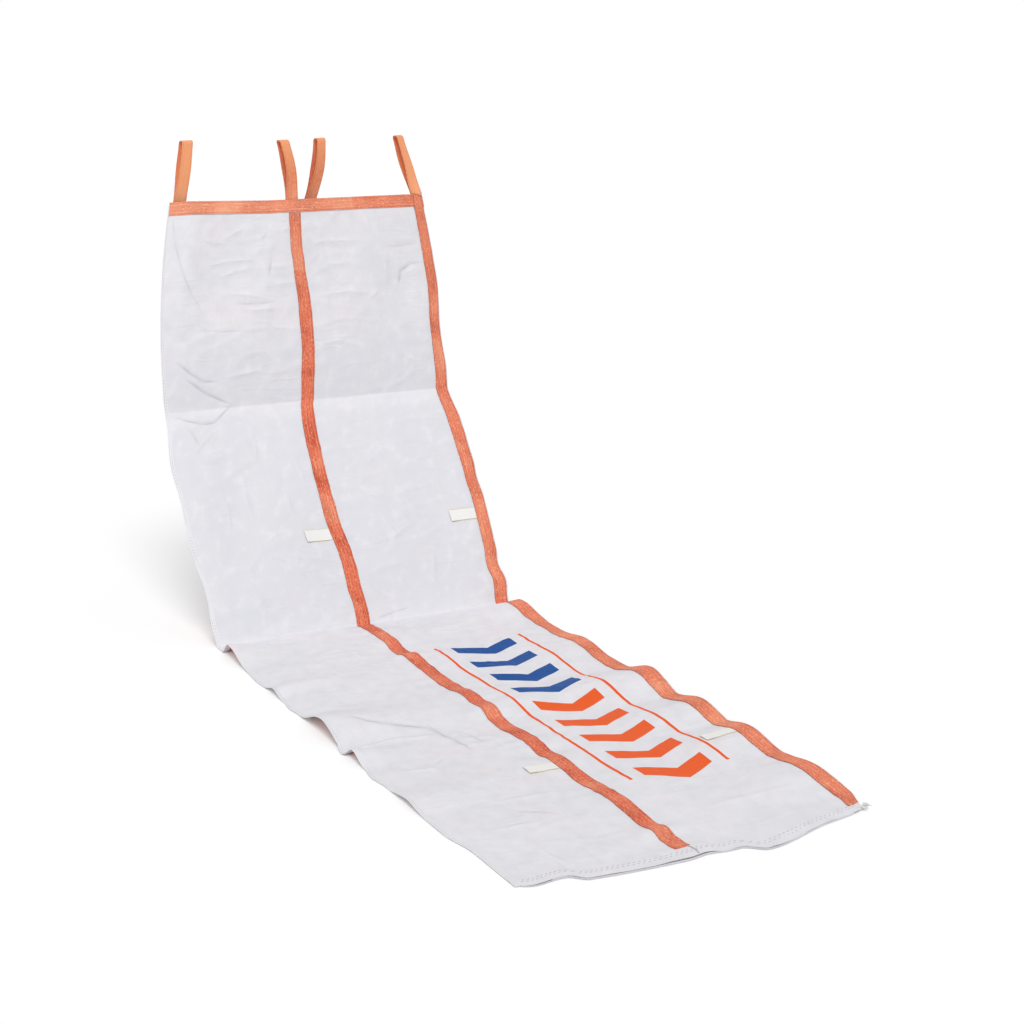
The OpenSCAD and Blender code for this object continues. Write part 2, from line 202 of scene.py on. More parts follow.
def lift(k, u, s):
    if k < 2:
        return 0 * s
    along = floor_s(k, s)
    left = LEFT_CREST * near_left(u, CREST_REACH) * crests(along, LEFT_CRESTS)
    left = left + near_left(u, LEFT_WAVE_REACH) * sum(steep_wave(along, *wave) for wave in LEFT_WAVES)
    right = RIGHT_CREST * near_right(u, CREST_REACH) * crests(along, RIGHT_CRESTS)
    right = right + STEP_LIFT * ease((u - STEP_EDGE) / STEP_EDGE_OVER) * step(along)
    tilted = ease((along - TILT_FROM) / TILT_OVER) * ease((TILT_TO - along) / TILT_FALL)
    right = right + RIGHT_TILT * near_right(u, TILT_REACH) * tilted
    return left + right + FLOOR_RIDGE * mid_share(u) * hump(along - RIDGE_AT * FLOOR_LEN, CREST_HALF)


def bow(k, u, s):
    if k < 3:
        return 0 * s
    ragged = sum(steep_wave(u, *wave) for wave in OUTLET_WAVES)
    return OUTLET_BOW * mid_share(u) ** 0.6 * (s / LENGTHS[3]) ** 2 + ragged * ease((s - RAGGED_FROM) / RAGGED_OVER)


def sag(k, u, s):
    return MOUTH_SAG * drawn(k, s) * np.clip(u / SAG_REACH, 0, 1)


# %% Faces: how far the front and the back of the tube stand apart
FRONT_FULL = np.array([30, 14, 10, 10]) * MM
BACK_FULL = np.array([15, 6, 0, 0]) * MM
EDGE_W, HANG_PITCH, FLOOR_PITCH = 0.084, 0.310, 0.240
RIPPLE, SLANT, CALM = 0.34, 0.30, 0.35
OUTLET_SHUT, SHUT_FROM, SHUT_OVER = 0.90, 0.560, 0.230


def swell(k, u, s):
    belly = 1 - s / LENGTHS[0] if k == 0 else arch(k, s)
    if k == 3:
        belly = np.sin(np.pi / 2 * s / LENGTHS[3]) * (1 - OUTLET_SHUT * ease((s - SHUT_FROM) / SHUT_OVER))
    if k < 2:
        wave = arch(k, s) * np.sin(2 * np.pi * (u + SLANT * s) / HANG_PITCH)
    else:
        calm = CALM + (1 - CALM) * u / TUBE_W
        wave = calm * np.sin(2 * np.pi * (floor_s(k, s) + SLANT * u) / FLOOR_PITCH)
    return belly * (1 + RIPPLE * wave)


def open_share(u):
    closing = np.clip(u / EDGE_W, 0, 1), np.clip((TUBE_W - u) / EDGE_W, 0, 1)
    return np.sin(np.pi / 2 * closing[0]) * np.sin(np.pi / 2 * closing[1])


def front_face(k, u, s):
    gap = FOLD_GAP - LAYER_GAP + FRONT_FULL[k] * swell(k, u, s)
    return 2 * FABRIC_T + LAYER_GAP + open_share(u) * gap


def back_face(k, u, s):
    return -open_share(u) * BACK_FULL[k] * swell(k, u, s)


# %% The map from a cloth address to a point
CREASE_HALF = [0.006, 0.008, 0.020]
SPLIT_REACH, SPLIT_HALF = 0.175, 0.055


def past_fold(k, u, t):
    half = CREASE_HALF[k] + (SPLIT_HALF * near_left(u, SPLIT_REACH) if k == 0 else 0)
    return ease((t - STARTS[k + 1] + half) / (2 * half))


def section_shares(u, t):
    past = [np.ones_like(t)] + [past_fold(k, u, t) for k in range(3)] + [np.zeros_like(t)]
    return [past[k] - past[k + 1] for k in range(4)]


def tube_point(u, t, face, extra=0.0):
    """The point of cloth at u and t, extra metres outside the front or back face of the tube."""
    u, t = np.broadcast_arrays(np.asarray(u, float), np.asarray(t, float))
    total = np.zeros(u.shape + (3,))
    for k, share in enumerate(section_shares(u, t)):
        s = t - STARTS[k]
        held = np.clip(s, 0, LENGTHS[k])
        along = s + sag(k, u, held) + bow(k, u, held)
        high = face(k, u, held) + extra + lift(k, u, held)
        side = section_at[k] + along[..., None] * DOWN[k] + high[..., None] * OUT[k]
        total += share[..., None] * np.concatenate([across(k, u, held)[..., None], side], -1)
    return total


print("outlet middle:", np.round(tube_point(TUBE_W / 2, TOTAL, front_face), 3))

# %% [markdown]
# The camera comes before the cloth, so that every later step can be judged in the photograph's own view. It
# stands low and to the left, five and a half metres off, with a short telephoto lens.

# %% Camera
CAMERA_EYE = Vector((-2.0888, -5.3156, 0.3107))
CAMERA_FORWARD = Vector((0.45194, 0.85761, -0.24547))
lens = bpy.data.cameras.new("photo_view")
lens.sensor_width, lens.lens = 36, 67.73
camera = bpy.data.objects.new("photo_view", lens)
bpy.context.collection.objects.link(camera)
camera.location = CAMERA_EYE
camera.rotation_euler = CAMERA_FORWARD.to_track_quat("-Z", "Y").to_euler()
bpy.context.scene.camera = camera
bpy.context.scene.view_settings.view_transform = "Standard"
print("camera at", tuple(camera.location))

# %% [markdown]
# Node maths is hard to read as a tangle of wires, so one small class wraps a socket: adding or multiplying
# two wires puts in the Math node. Any other kind of node comes from a single method that takes its settings
# and the values or wires of its sockets.

# %% A wire of a node tree
class Wire:
    def __init__(self, tree, socket=None):
        self.tree, self.socket = tree, socket

    def node(self, kind, sockets=(), out=0, **settings):
        made = self.tree.nodes.new(kind)
        for name, value in settings.items():
            setattr(made, name, value)
        for place, value in dict(sockets).items():
            if isinstance(value, Wire):
                self.tree.links.new(value.socket, made.inputs[place])
            else:
                made.inputs[place].default_value = value
        return Wire(self.tree, made.outputs[out] if made.outputs else None)

    def math(self, operation, *values):
        return self.node("ShaderNodeMath", enumerate(values), operation=operation)

    def __add__(self, other):
        return self.math("ADD", self, other)

    def __sub__(self, other):
        return self.math("SUBTRACT", self, other)

    def __rsub__(self, other):
        return self.math("SUBTRACT", other, self)

    def __mul__(self, other):
        return self.math("MULTIPLY", self, other)

    def __truediv__(self, other):
        return self.math("DIVIDE", self, other)

    __radd__, __rmul__ = __add__, __mul__

    def size(self):
        return self.math("ABSOLUTE", self)

    def wave(self, pitch):
        return self.math("SINE", self * (2 * math.pi / pitch))

    def rise(self, low, high):
        """0 below low and 1 above high, smooth between; with low above high it falls."""
        sockets = {0: self, 1: low, 2: high, 3: 0.0, 4: 1.0}
        return self.node("ShaderNodeMapRange", sockets, interpolation_type="SMOOTHSTEP")

    def band(self, low, high, soft):
        return self.rise(low - soft, low + soft) * self.rise(high + soft, high - soft)

    def tint(self, colour, share, under=None):
        """A colour laid over this one, or over a plain one, by a share."""
        sockets = {0: share, 6: under or self, 7: colour}
        return self.node("ShaderNodeMix", sockets, out=2, data_type="RGBA")


def colour(red, green, blue):
    """A colour that is given as on a screen, 0 to 255, made linear for Blender."""
    parts = [c / 255 for c in (red, green, blue)]
    return (*[c / 12.92 if c <= 0.04045 else ((c + 0.055) / 1.055) ** 2.4 for c in parts], 1.0)


def new_material(name):
    material = bpy.data.materials.new(name)
    material.use_nodes = True
    material.node_tree.nodes.clear()
    return material, Wire(material.node_tree)


def finish_material(start, sockets):
    shader = start.node("ShaderNodeBsdfPrincipled", sockets)
    start.node("ShaderNodeOutputMaterial", {0: shader})


print("wire methods:", [name for name in vars(Wire) if not name.startswith("_")])

# %% [markdown]
# The chute lies on a plain white floor under soft light from above. The light is a wide sun, because it falls
# off nowhere and leaves the floor even, and a pale world fills the shadows. A camera ray sees pure white sky,
# and the floor gets a touch of glow for camera rays alone, so the background is white while the cloth is lit
# at a plain level.

# %% Floor, sun and sky
WORLD_FILL, SUN_STRENGTH, SUN_ANGLE = 0.54, 1.58, 26
SUN_FROM = Vector((-0.20, -0.55, 0.80))
FLOOR_GLOW = 0.13

bpy.ops.mesh.primitive_plane_add(size=120, location=(0, 0, FLOOR_Z))
studio_floor = bpy.context.object
studio_floor.name = "studio_floor"
floor_material, start = new_material("studio_floor")
seen = start.node("ShaderNodeLightPath", out="Is Camera Ray")
glow = start.node("ShaderNodeCombineColor", {0: seen * FLOOR_GLOW, 1: seen * FLOOR_GLOW, 2: seen * FLOOR_GLOW})
finish_material(start, {"Base Color": (0.93, 0.93, 0.93, 1), "Roughness": 0.9, "Specular IOR Level": 0.1,
                        "Emission Color": glow, "Emission Strength": 1.0})
studio_floor.data.materials.append(floor_material)

sun = bpy.data.lights.new("studio_sun", "SUN")
sun.energy, sun.angle = SUN_STRENGTH, math.radians(SUN_ANGLE)
lamp = bpy.data.objects.new("studio_sun", sun)
bpy.context.collection.objects.link(lamp)
lamp.rotation_euler = SUN_FROM.to_track_quat("Z", "Y").to_euler()

world = bpy.data.worlds.new("studio_sky")
bpy.context.scene.world = world
world.use_nodes = True
world.node_tree.nodes.clear()
sky = Wire(world.node_tree)
direct = sky.node("ShaderNodeLightPath", out="Is Camera Ray")
for other in ("Is Glossy Ray", "Is Transmission Ray"):
    direct = direct.math("MAXIMUM", direct, sky.node("ShaderNodeLightPath", out=other))
level = direct * (1 - WORLD_FILL) + WORLD_FILL
shown = sky.node("ShaderNodeBackground", {0: (1, 1, 1, 1), 1: level})
sky.node("ShaderNodeOutputWorld", {0: shown})
print("floor at", round(FLOOR_Z, 4), "sun angle", SUN_ANGLE)

# %% [markdown]
# The folds that give this chute its character are listed one by one: each is a short line of cloth addresses in
# millimetres with a height and a half width, a ridge where the height is positive and a valley where it is
# negative. They serve twice: as a crisp line in the finish of the fabric, and later as its shape.

# %% Listed folds
UPPER_FOLDS = [
    (2.0, 7, [(135, 180), (200, 172), (265, 170)]), (1.8, 7, [(170, 215), (220, 200), (260, 195)]),
    (-1.6, 4, [(10, 40), (20, 100), (45, 190), (75, 260), (110, 310)]), (1.6, 6, [(85, 280), (120, 325)]),
    (1.6, 9, [(180, 265), (240, 270), (305, 285)]), (-1.6, 8, [(210, 295), (270, 300), (330, 295)]),
    (1.6, 8, [(240, 315), (330, 315)]), (-1.0, 5, [(80, 365), (275, 380)]),
    (-2.4, 6, [(30, 450), (100, 510), (140, 515)]), (2.2, 10, [(175, 505), (270, 490)]),
    (1.6, 10, [(110, 105), (150, 116), (185, 120)]), (1.6, 10, [(185, 105), (255, 75)]),
    (-1.4, 9, [(305, 120), (330, 90)]), (-1.8, 8, [(315, 225), (335, 165)]),
    (2.0, 8, [(485, 130), (535, 125), (625, 130)]), (1.4, 7, [(535, 125), (570, 140)]),
    (-1.4, 10, [(720, 155), (825, 150)]), (-2.4, 8, [(745, 275), (760, 230), (795, 210), (835, 205)]),
    (1.6, 9, [(485, 285), (565, 280), (650, 290)]), (1.6, 7, [(635, 305), (670, 280)]),
    (1.6, 6, [(620, 440), (640, 485)]), (1.4, 12, [(460, 435), (575, 405)]), (1.6, 14, [(715, 165), (700, 285)]),
]
MIDDLE_FOLDS = [
    (-2.6, 5, [(185, 582), (110, 545), (55, 500)]), (-2.8, 5, [(185, 588), (132, 632), (95, 634), (15, 606)]),
    (1.8, 7, [(35, 615), (62, 680)]), (1.6, 6, [(118, 668), (60, 725)]), (-1.4, 5, [(60, 655), (80, 700)]),
    (1.6, 8, [(160, 605), (235, 640)]), (1.5, 10, [(110, 850), (120, 905), (112, 980)]),
    (1.4, 10, [(360, 770), (365, 840)]), (1.6, 10, [(180, 840), (190, 930)]), (1.4, 9, [(300, 860), (310, 950)]),
    (1.8, 7, [(520, 1055), (580, 1045), (640, 1015)]), (1.4, 12, [(655, 910), (660, 975)]),
    (1.6, 9, [(190, 1045), (260, 1085), (300, 1150)]), (1.4, 9, [(250, 1060), (390, 1095)]),
    (1.6, 10, [(560, 1110), (585, 1200)]), (1.5, 9, [(690, 1100), (670, 1200)]), (1.3, 8, [(760, 880), (770, 960)]),
    (-1.8, 4, [(470, 1276), (530, 1262), (570, 1258)]), (1.6, 9, [(120, 1130), (160, 1220)]),
    (1.5, 9, [(250, 1180), (330, 1235)]), (1.4, 10, [(600, 700), (640, 790)]), (1.3, 9, [(250, 700), (235, 780)]),
]
FLOOR_FOLDS = [
    (2.2, 9, [(60, 1305), (210, 1345)]), (1.6, 10, [(195, 1525), (360, 1525)]),
    (1.6, 10, [(130, 1695), (280, 1680)]), (1.6, 9, [(10, 1965), (75, 1995)]),
    (-3.2, 11, [(60, 2030), (140, 2080), (245, 2135), (265, 2215), (275, 2300)]),
    (3.2, 11, [(30, 2165), (140, 2160), (245, 2180)]), (2.6, 10, [(55, 2350), (135, 2380), (190, 2325)]),
    (-1.8, 8, [(310, 2190), (325, 2285)]), (2.2, 10, [(170, 2610), (335, 2615)]),
    (2.2, 10, [(65, 2745), (215, 2745)]), (-1.8, 9, [(180, 2660), (265, 2715)]),
    (2.2, 10, [(140, 2855), (150, 2930)]), (2.2, 12, [(580, 2825), (750, 2830), (800, 2835)]),
]
FOLDS = UPPER_FOLDS + MIDDLE_FOLDS + FLOOR_FOLDS
print("hand-laid folds:", len(FOLDS))

# %% [markdown]
# The fabric is woven from flat plastic tapes and coated, so it is matt, pale and faintly lavender, with long
# streaks along both tape directions. Its pattern follows the cloth, so it reads the address that every vertex
# carries in an attribute named weave: u, t, and 0 on the front or 1 on the back. Shade is painted in as grey: in
# the fold valleys, from a second attribute, and along the valley lines of the listed folds, over the middle
# section and the right half of the upper one, and in a band above the first fold. Small patches of painted
# crumple shade and highlight lie over it all. The floor section carries a plain printed lane: blue and orange
# chevrons that point to the outlet, between two rules.

# %% Fabric
FABRIC = colour(229, 228, 233)
FABRIC_WARM, FABRIC_GREY, FABRIC_FOLD_SHADE = colour(232, 226, 229), colour(215, 216, 222), colour(188, 188, 197)
FABRIC_PAINTED_HIGHLIGHT = colour(236, 236, 240)
PRINT_BLUE, PRINT_ORANGE = colour(0, 74, 146), colour(234, 92, 30)
TAPE_PITCH = 2.4 * MM
LANE_U, LANE_HALF, RULE_HALF = 0.632, 0.126, 0.0042
CHEVRON_PITCH, CHEVRON_BAND, CHEVRON_HALF, CHEVRON_SLOPE = 0.120, 0.052, 0.088, 0.55
LANE_FROM, BLUE_TO, ORANGE_FROM, LANE_TO = 1.600, 2.080, 2.100, 2.640
CHEVRON_SET, EDGE_SOFT = 0.02, 0.6 * MM
LINE_REACH, LINE_HALF, LINE_HEIGHT, LINE_SHAKE = 0.60, 0.50, 0.42, 7 * MM


def address(start):
    found = start.node("ShaderNodeAttribute", out="Vector", attribute_name="weave")
    return [start.node("ShaderNodeSeparateXYZ", {0: found}, out=i) for i in range(3)]


def speckle(start, x, y, size_x, size_y, detail=2.0, seed=0.0):
    where = start.node("ShaderNodeCombineXYZ", {0: x / size_x, 1: y / size_y, 2: seed})
    return start.node("ShaderNodeTexNoise", {"Vector": where, "Scale": 1.0, "Detail": detail})


def printed_lane(start, u, t, side):
    """Masks of the blue print and the orange print."""
    off = (u - LANE_U).size()
    beat = (t - CHEVRON_SLOPE * (CHEVRON_HALF - off) - LANE_FROM) / CHEVRON_PITCH
    beat = start.math("FRACT", beat) * CHEVRON_PITCH
    mark = beat.band(CHEVRON_SET, CHEVRON_SET + CHEVRON_BAND, EDGE_SOFT)
    mark = mark * off.rise(CHEVRON_HALF, CHEVRON_HALF - EDGE_SOFT)
    rule = off.band(LANE_HALF - RULE_HALF, LANE_HALF + RULE_HALF, EDGE_SOFT)
    row = t - CHEVRON_SLOPE * (CHEVRON_HALF - off)
    front = side.rise(0.5, 0.4)
    blue = mark * row.band(LANE_FROM, BLUE_TO, EDGE_SOFT) * front
    orange = mark * row.band(ORANGE_FROM - CHEVRON_SET, LANE_TO, EDGE_SOFT)
    orange = orange + rule * t.band(LANE_FROM, LANE_TO, EDGE_SOFT)
    return blue, orange * front


def fold_lines(start, u, t):
    """A crisp line along every listed fold, as a height in millimetres."""
    shake = [(speckle(start, u, t, 0.045, 0.045, 1.0, seed) - 0.5) * LINE_SHAKE for seed in (7.0, 8.0)]
    spot = start.node("ShaderNodeCombineXYZ", {0: u + shake[0], 1: t + shake[1]})
    total = 0.0
    for height, half, points in FOLDS:
        for (u0, t0), (u1, t1) in zip(points, points[1:]):
            middle, turn = ((u0 + u1) / 2 * MM, (t0 + t1) / 2 * MM, 0), (0, 0, math.atan2(t1 - t0, u1 - u0))
            reach = (LINE_REACH * math.hypot(u1 - u0, t1 - t0) * MM, LINE_HALF * half * MM, 1)
            sockets = {"Vector": spot, "Location": middle, "Rotation": turn, "Scale": reach}
            local = start.node("ShaderNodeMapping", sockets, vector_type="TEXTURE")
            line = start.node("ShaderNodeTexGradient", {0: local}, out=1, gradient_type="SPHERICAL")
            total = start.math("MULTIPLY_ADD", line, LINE_HEIGHT * height, total)
    return total


fabric, start = new_material("coated_fabric")
u, t, side = address(start)
# The fold attribute is how deep a point lies in a fold valley; below it drives painted shade.
fold = start.node("ShaderNodeAttribute", out="Fac", attribute_name="fold")
warp = speckle(start, u, t, 0.006, 0.22, 3.0, 1.0)
weft = speckle(start, u, t, 0.22, 0.006, 3.0, 2.0)
cloud = speckle(start, u, t, 0.16, 0.13, 3.0, 3.0)
tone = start.tint(FABRIC_WARM, cloud.rise(0.45, 0.75) * 0.7, under=FABRIC)
tone = tone.tint(FABRIC_GREY, cloud.rise(0.52, 0.25) * 0.35 + (warp + weft).rise(0.95, 1.40) * 0.26)
# Painted shade: the middle section is greyer, to hold back the extra light its slope takes, and so is the right half
# of the upper section.
tone = tone.tint(FABRIC_GREY, t.band(0.62, 1.26, 0.05) * 0.60 + t.rise(0.62, 0.56) * u.rise(0.40, 0.50) * 0.20)
# Painted shade: a grey band just above the first fold, where the upper section turns away from the light.
tone = tone.tint(FABRIC_GREY, t.rise(0.34, 0.585) * t.rise(0.594, 0.588) * 0.60)
# Painted crumple shade and highlight: small patches, some greyer and some paler.
crumple_shading = speckle(start, u + t * 0.2, t, 0.036, 0.046, 3.0, 11.0)
tone = tone.tint(FABRIC_GREY, crumple_shading.rise(0.48, 0.68) * 0.34).tint(FABRIC_PAINTED_HIGHLIGHT, crumple_shading.rise(0.48, 0.30) * 0.34)
lines = fold_lines(start, u, t) * side.rise(0.5, 0.4)
# Painted shade: greyer in the fold valleys, from the fold attribute, and along the valley lines of the listed folds.
tone = tone.tint(FABRIC_FOLD_SHADE, fold * 0.30 + lines.rise(-0.15, -0.85) * 0.34)
blue, orange = printed_lane(start, u, t, side)
ink_wear = 1.0 - (warp + weft).rise(1.1, 1.5) * 0.10
tone = tone.tint(PRINT_BLUE, blue * ink_wear).tint(PRINT_ORANGE, orange * ink_wear)
tapes = u.wave(TAPE_PITCH) * t.wave(TAPE_PITCH)
crumple = speckle(start, u, t, 0.020, 0.016, 3.0, 5.0)
crinkle = (speckle(start, u + t * 0.15, t, 0.14, 0.055, 1.0, 6.0) - 0.5).size().rise(0.06, 0.0)
crinkle = crinkle * speckle(start, u, t, 0.12, 0.12, 1.0, 9.0).rise(0.45, 0.62)
relief = start.node("ShaderNodeBump", {"Height": tapes * 0.06 + crumple * 0.9, "Strength": 0.35,
                                       "Distance": 1.0 * MM})
relief = start.node("ShaderNodeBump", {"Height": lines + crinkle * 0.55, "Strength": 1.0, "Distance": 1.0 * MM,
                                       "Normal": relief})
finish_material(start, {"Base Color": tone, "Roughness": 0.54 + cloud * 0.16, "Normal": relief,
                        "Specular IOR Level": 0.22})
print("fabric nodes:", len(fabric.node_tree.nodes))

# %% [markdown]
# The webbing is orange polypropylene, 40 mm wide, with ribs along its length and a herringbone weave that
# catches pale flecks. Two rows of stitches hold it near its edges, and both edges are darker, partly from the
# selvedge and partly as painted shade. The attribute holds the place across the webbing, the place along it,
# and how weathered and lit the piece is: bleached above 0, and below 0 a fresh bright orange that is partly
# the webbing's own colour and partly painted light on loops that face away from the sun.

# %% Webbing
WEBBING, WEBBING_DEEP, WEBBING_PALE = colour(226, 112, 80), colour(182, 64, 40), colour(252, 178, 142)
WEBBING_FRESH_AND_LIT = colour(255, 172, 118)
WEBBING_THREAD, WEBBING_EDGE_SHADE = colour(184, 78, 54), colour(158, 84, 64)
RIB_PITCH, TWILL_PITCH, STITCH_PITCH, STITCH_AT = 9.2 * MM, 4.6 * MM, 7.0 * MM, 15.0 * MM

webbing, start = new_material("ribbed_webbing")
v, along, wear_and_light = address(start)
rib = v.wave(RIB_PITCH)
twill = (along + v.size() * 0.8).wave(TWILL_PITCH)
patch = speckle(start, v, along, 0.030, 0.070, 3.0, 1.0)
fleck = speckle(start, v, along, 0.0032, 0.0085, 3.0, 2.0)
streak = speckle(start, v, along, 0.0028, 0.070, 3.0, 3.0)
stretch = speckle(start, v, along, 0.20, 0.13, 2.0, 5.0)
shade = patch.rise(0.48, 0.72) * 0.55 + rib.rise(-0.1, -1.0) * 0.34 + fleck.rise(0.46, 0.28) * 0.80
tone = start.tint(WEBBING_DEEP, shade + stretch.rise(0.50, 0.36) * 0.40, under=WEBBING)
# Below 0 the webbing is brightened towards fresh orange: partly its own fresher colour, partly painted light on loops
# that face away from the sun.
tone = tone.tint(WEBBING_FRESH_AND_LIT, wear_and_light * -0.92)
bleached = wear_and_light.math("MAXIMUM", wear_and_light, 0.0) * 0.75 + stretch.rise(0.50, 0.64) * 0.22
shine = fleck.rise(0.54, 0.70) * 0.90 + streak.rise(0.52, 0.70) * 0.60 + twill.rise(0.3, 1.0) * 0.12
tone = tone.tint(WEBBING_PALE, shine * 0.8 + bleached)
row = (v.size() - STITCH_AT).size().rise(0.9 * MM, 0.4 * MM)
stitch = row * along.wave(STITCH_PITCH).rise(-0.3, 0.1)
tone = tone.tint(WEBBING_THREAD, stitch * 0.8)
# Both edges are darker: partly the selvedge, partly painted shade along the edge.
edge_shade = v.size().rise(17.6 * MM, 19.4 * MM)
tone = tone.tint(WEBBING_EDGE_SHADE, edge_shade * (0.35 + fleck.rise(0.6, 0.4) * 0.5))
height = rib * 0.30 + twill * 0.22 + fleck * 0.35 - row * 0.35 + stitch * 0.5
relief = start.node("ShaderNodeBump", {"Height": height, "Strength": 0.7, "Distance": 0.7 * MM})
finish_material(start, {"Base Color": tone, "Roughness": 0.62 + fleck * 0.15, "Normal": relief,
                        "Specular IOR Level": 0.30})
print("webbing nodes:", len(webbing.node_tree.nodes))

# %% [markdown]
# Three small finishes remain: the tape of the tabs, white with a yellowish woven edge, the doubled allowance
# of the side seam with its two rows of grey stitches, and the sewing thread itself.

# %% Tab tape, seam allowance and thread
TAPE, TAPE_EDGE = colour(238, 237, 234), colour(214, 200, 148)
SEAM, SEAM_GREY = colour(232, 231, 235), colour(120, 120, 130)
THREAD, THREAD_GREY = colour(188, 187, 196), colour(134, 133, 142)
TUFT, TUFT_GREY = colour(236, 235, 232), colour(196, 195, 192)
TAB_W, SEAM_W = 36 * MM, 12 * MM

tape, start = new_material("tab_tape")
v, along = address(start)[:2]
fleck = speckle(start, v, along, 0.0012, 0.006, 2.0, 1.0)
cloud = speckle(start, v, along, 0.012, 0.012, 2.0, 2.0)
tone = start.tint(TAPE_EDGE, v.size().rise(15.6 * MM, 17.4 * MM) * 0.85, under=TAPE)
tone = tone.tint(FABRIC_GREY, fleck.rise(0.5, 0.8) * 0.3)
relief = start.node("ShaderNodeBump", {"Height": v.wave(1.5 * MM) * along.wave(1.5 * MM) * 0.3 + fleck * 0.4,
                                       "Strength": 0.5, "Distance": 0.4 * MM})
finish_material(start, {"Base Color": tone, "Roughness": 0.6 + cloud * 0.2, "Normal": relief})

seam_cloth, start = new_material("seam_allowance")
v, along = address(start)[:2]
cloud = speckle(start, v, along, 0.02, 0.09, 3.0, 1.0)
row = (v + SEAM_W * 0.35).size().rise(0.9 * MM, 0.5 * MM) + (v + SEAM_W * 0.75).size().rise(0.9 * MM, 0.5 * MM)
stitch = row * along.wave(9 * MM).rise(-0.5, -0.1)
worn = speckle(start, v, along, 0.5, 0.12, 2.0, 4.0).rise(0.45, 0.60)
tone = start.tint(FABRIC_GREY, cloud.rise(0.5, 0.8) * 0.5, under=SEAM)
tone = tone.tint(SEAM_GREY, row * 0.18 + stitch * worn * 0.30)
relief = start.node("ShaderNodeBump", {"Height": cloud + stitch * 0.6, "Strength": 0.5, "Distance": 0.8 * MM})
finish_material(start, {"Base Color": tone, "Roughness": 0.55 + cloud * 0.15, "Normal": relief})


def twisted_thread(name, pale, dark):
    material, start = new_material(name)
    place = start.node("ShaderNodeTexCoord", out="Object")
    twist = start.node("ShaderNodeTexNoise", {"Vector": place, "Scale": 900.0, "Detail": 2.0})
    tone = start.tint(dark, twist.rise(0.4, 0.7), under=pale)
    finish_material(start, {"Base Color": tone, "Roughness": 0.55 + twist * 0.2})
    return material


thread = twisted_thread("sewing_thread", THREAD, THREAD_GREY)
frayed = twisted_thread("frayed_thread", TUFT, TUFT_GREY)
print("small finishes:", [finish.name for finish in (tape, seam_cloth, thread, frayed)])

# %% [markdown]
# Every soft piece here is a thin sheet with two faces and a rim. Cloth could be simulated, but a chute that
# hangs from four points settles into folds nobody can steer, and these folds are known, so the sheets are
# built as grids in mesh code and moved vertex by vertex. One function closes a grid and its inner face into
# a piece. It takes the normals from the whole sheet, so a sheet that is cut where it has to bend shows no cut.

# %% Grids into closed sheets
def cells(numbers, wrap=False):
    if wrap:
        numbers = np.concatenate([numbers, numbers[:, :1]], 1)
    return np.stack([numbers[:-1, :-1], numbers[1:, :-1], numbers[1:, 1:], numbers[:-1, 1:]], -1).reshape(-1, 4)


def grid_normals(points, wrap):
    if wrap:
        side = np.roll(points, -1, 1) - np.roll(points, 1, 1)
    else:
        side = np.gradient(points, axis=1)
    normal = np.cross(np.gradient(points, axis=0), side)
    return normal / np.maximum(np.linalg.norm(normal, axis=2, keepdims=True), 1e-12)


def link_mesh(name, points, faces, material):
    mesh = bpy.data.meshes.new(name)
    mesh.from_pydata(points.tolist(), [], faces)
    mesh.polygons.foreach_set("use_smooth", np.ones(len(faces), bool))
    mesh.materials.append(material)
    piece = bpy.data.objects.new(name, mesh)
    bpy.context.collection.objects.link(piece)
    return piece


def give(piece, name, kind, values):
    field = "vector" if kind == "FLOAT_VECTOR" else "value"
    piece.data.attributes.new(name, kind, "POINT").data.foreach_set(field, values.astype(np.float32).ravel())


def closed_sheet(name, outer, inner, weave, material, wrap=False, rows=None, fold=None):
    """A closed piece between two grids of points, or between two rows of them."""
    first, last = rows or (0, len(outer) - 1)
    cut = slice(first, last + 1)
    normals = np.concatenate([grid_normals(outer, wrap)[cut].reshape(-1, 3),
                              -grid_normals(inner, wrap)[cut].reshape(-1, 3)])
    points = np.concatenate([outer[cut].reshape(-1, 3), inner[cut].reshape(-1, 3)])
    shape = outer[cut].shape[:2]
    top = np.arange(shape[0] * shape[1]).reshape(shape)
    low = top + top.size
    skins = np.concatenate([cells(top, wrap), cells(low, wrap)[:, ::-1]])
    rims = [cells(np.stack([low[0], top[0]]), wrap), cells(np.stack([top[-1], low[-1]]), wrap)]
    if not wrap:
        rims.append(cells(np.stack([low[:, 0], top[:, 0]], 1)))
        rims.append(cells(np.stack([top[:, -1], low[:, -1]], 1)))
    rims = np.concatenate(rims)
    flat = np.cross(points[rims[:, 2]] - points[rims[:, 0]], points[rims[:, 3]] - points[rims[:, 1]])
    flat /= np.maximum(np.linalg.norm(flat, axis=1, keepdims=True), 1e-12)
    piece = link_mesh(name, points, np.concatenate([skins, rims]).tolist(), material)
    corners = np.concatenate([normals[skins.ravel()], np.repeat(flat, 4, axis=0)])
    piece.data.normals_split_custom_set(corners.tolist())
    address_rows = np.broadcast_to(weave, outer.shape)[cut].reshape(-1, 3)
    give(piece, "weave", "FLOAT_VECTOR", np.concatenate([address_rows, address_rows]))
    # The fold attribute carries valley depth, which the fabric turns into painted shade.
    if fold is not None:
        give(piece, "fold", "FLOAT", np.tile(fold[cut].ravel(), 2))
    return piece


print("sheet builder ready")

# %% [markdown]
# Now the folds take shape. Long shallow waves and fine crumples come from smooth noise, and every listed
# fold is a soft ridge or valley round its line of addresses.

# %% Folds from their lines
FOLD_GAIN, FOLD_NARROW = 1.30, 0.78


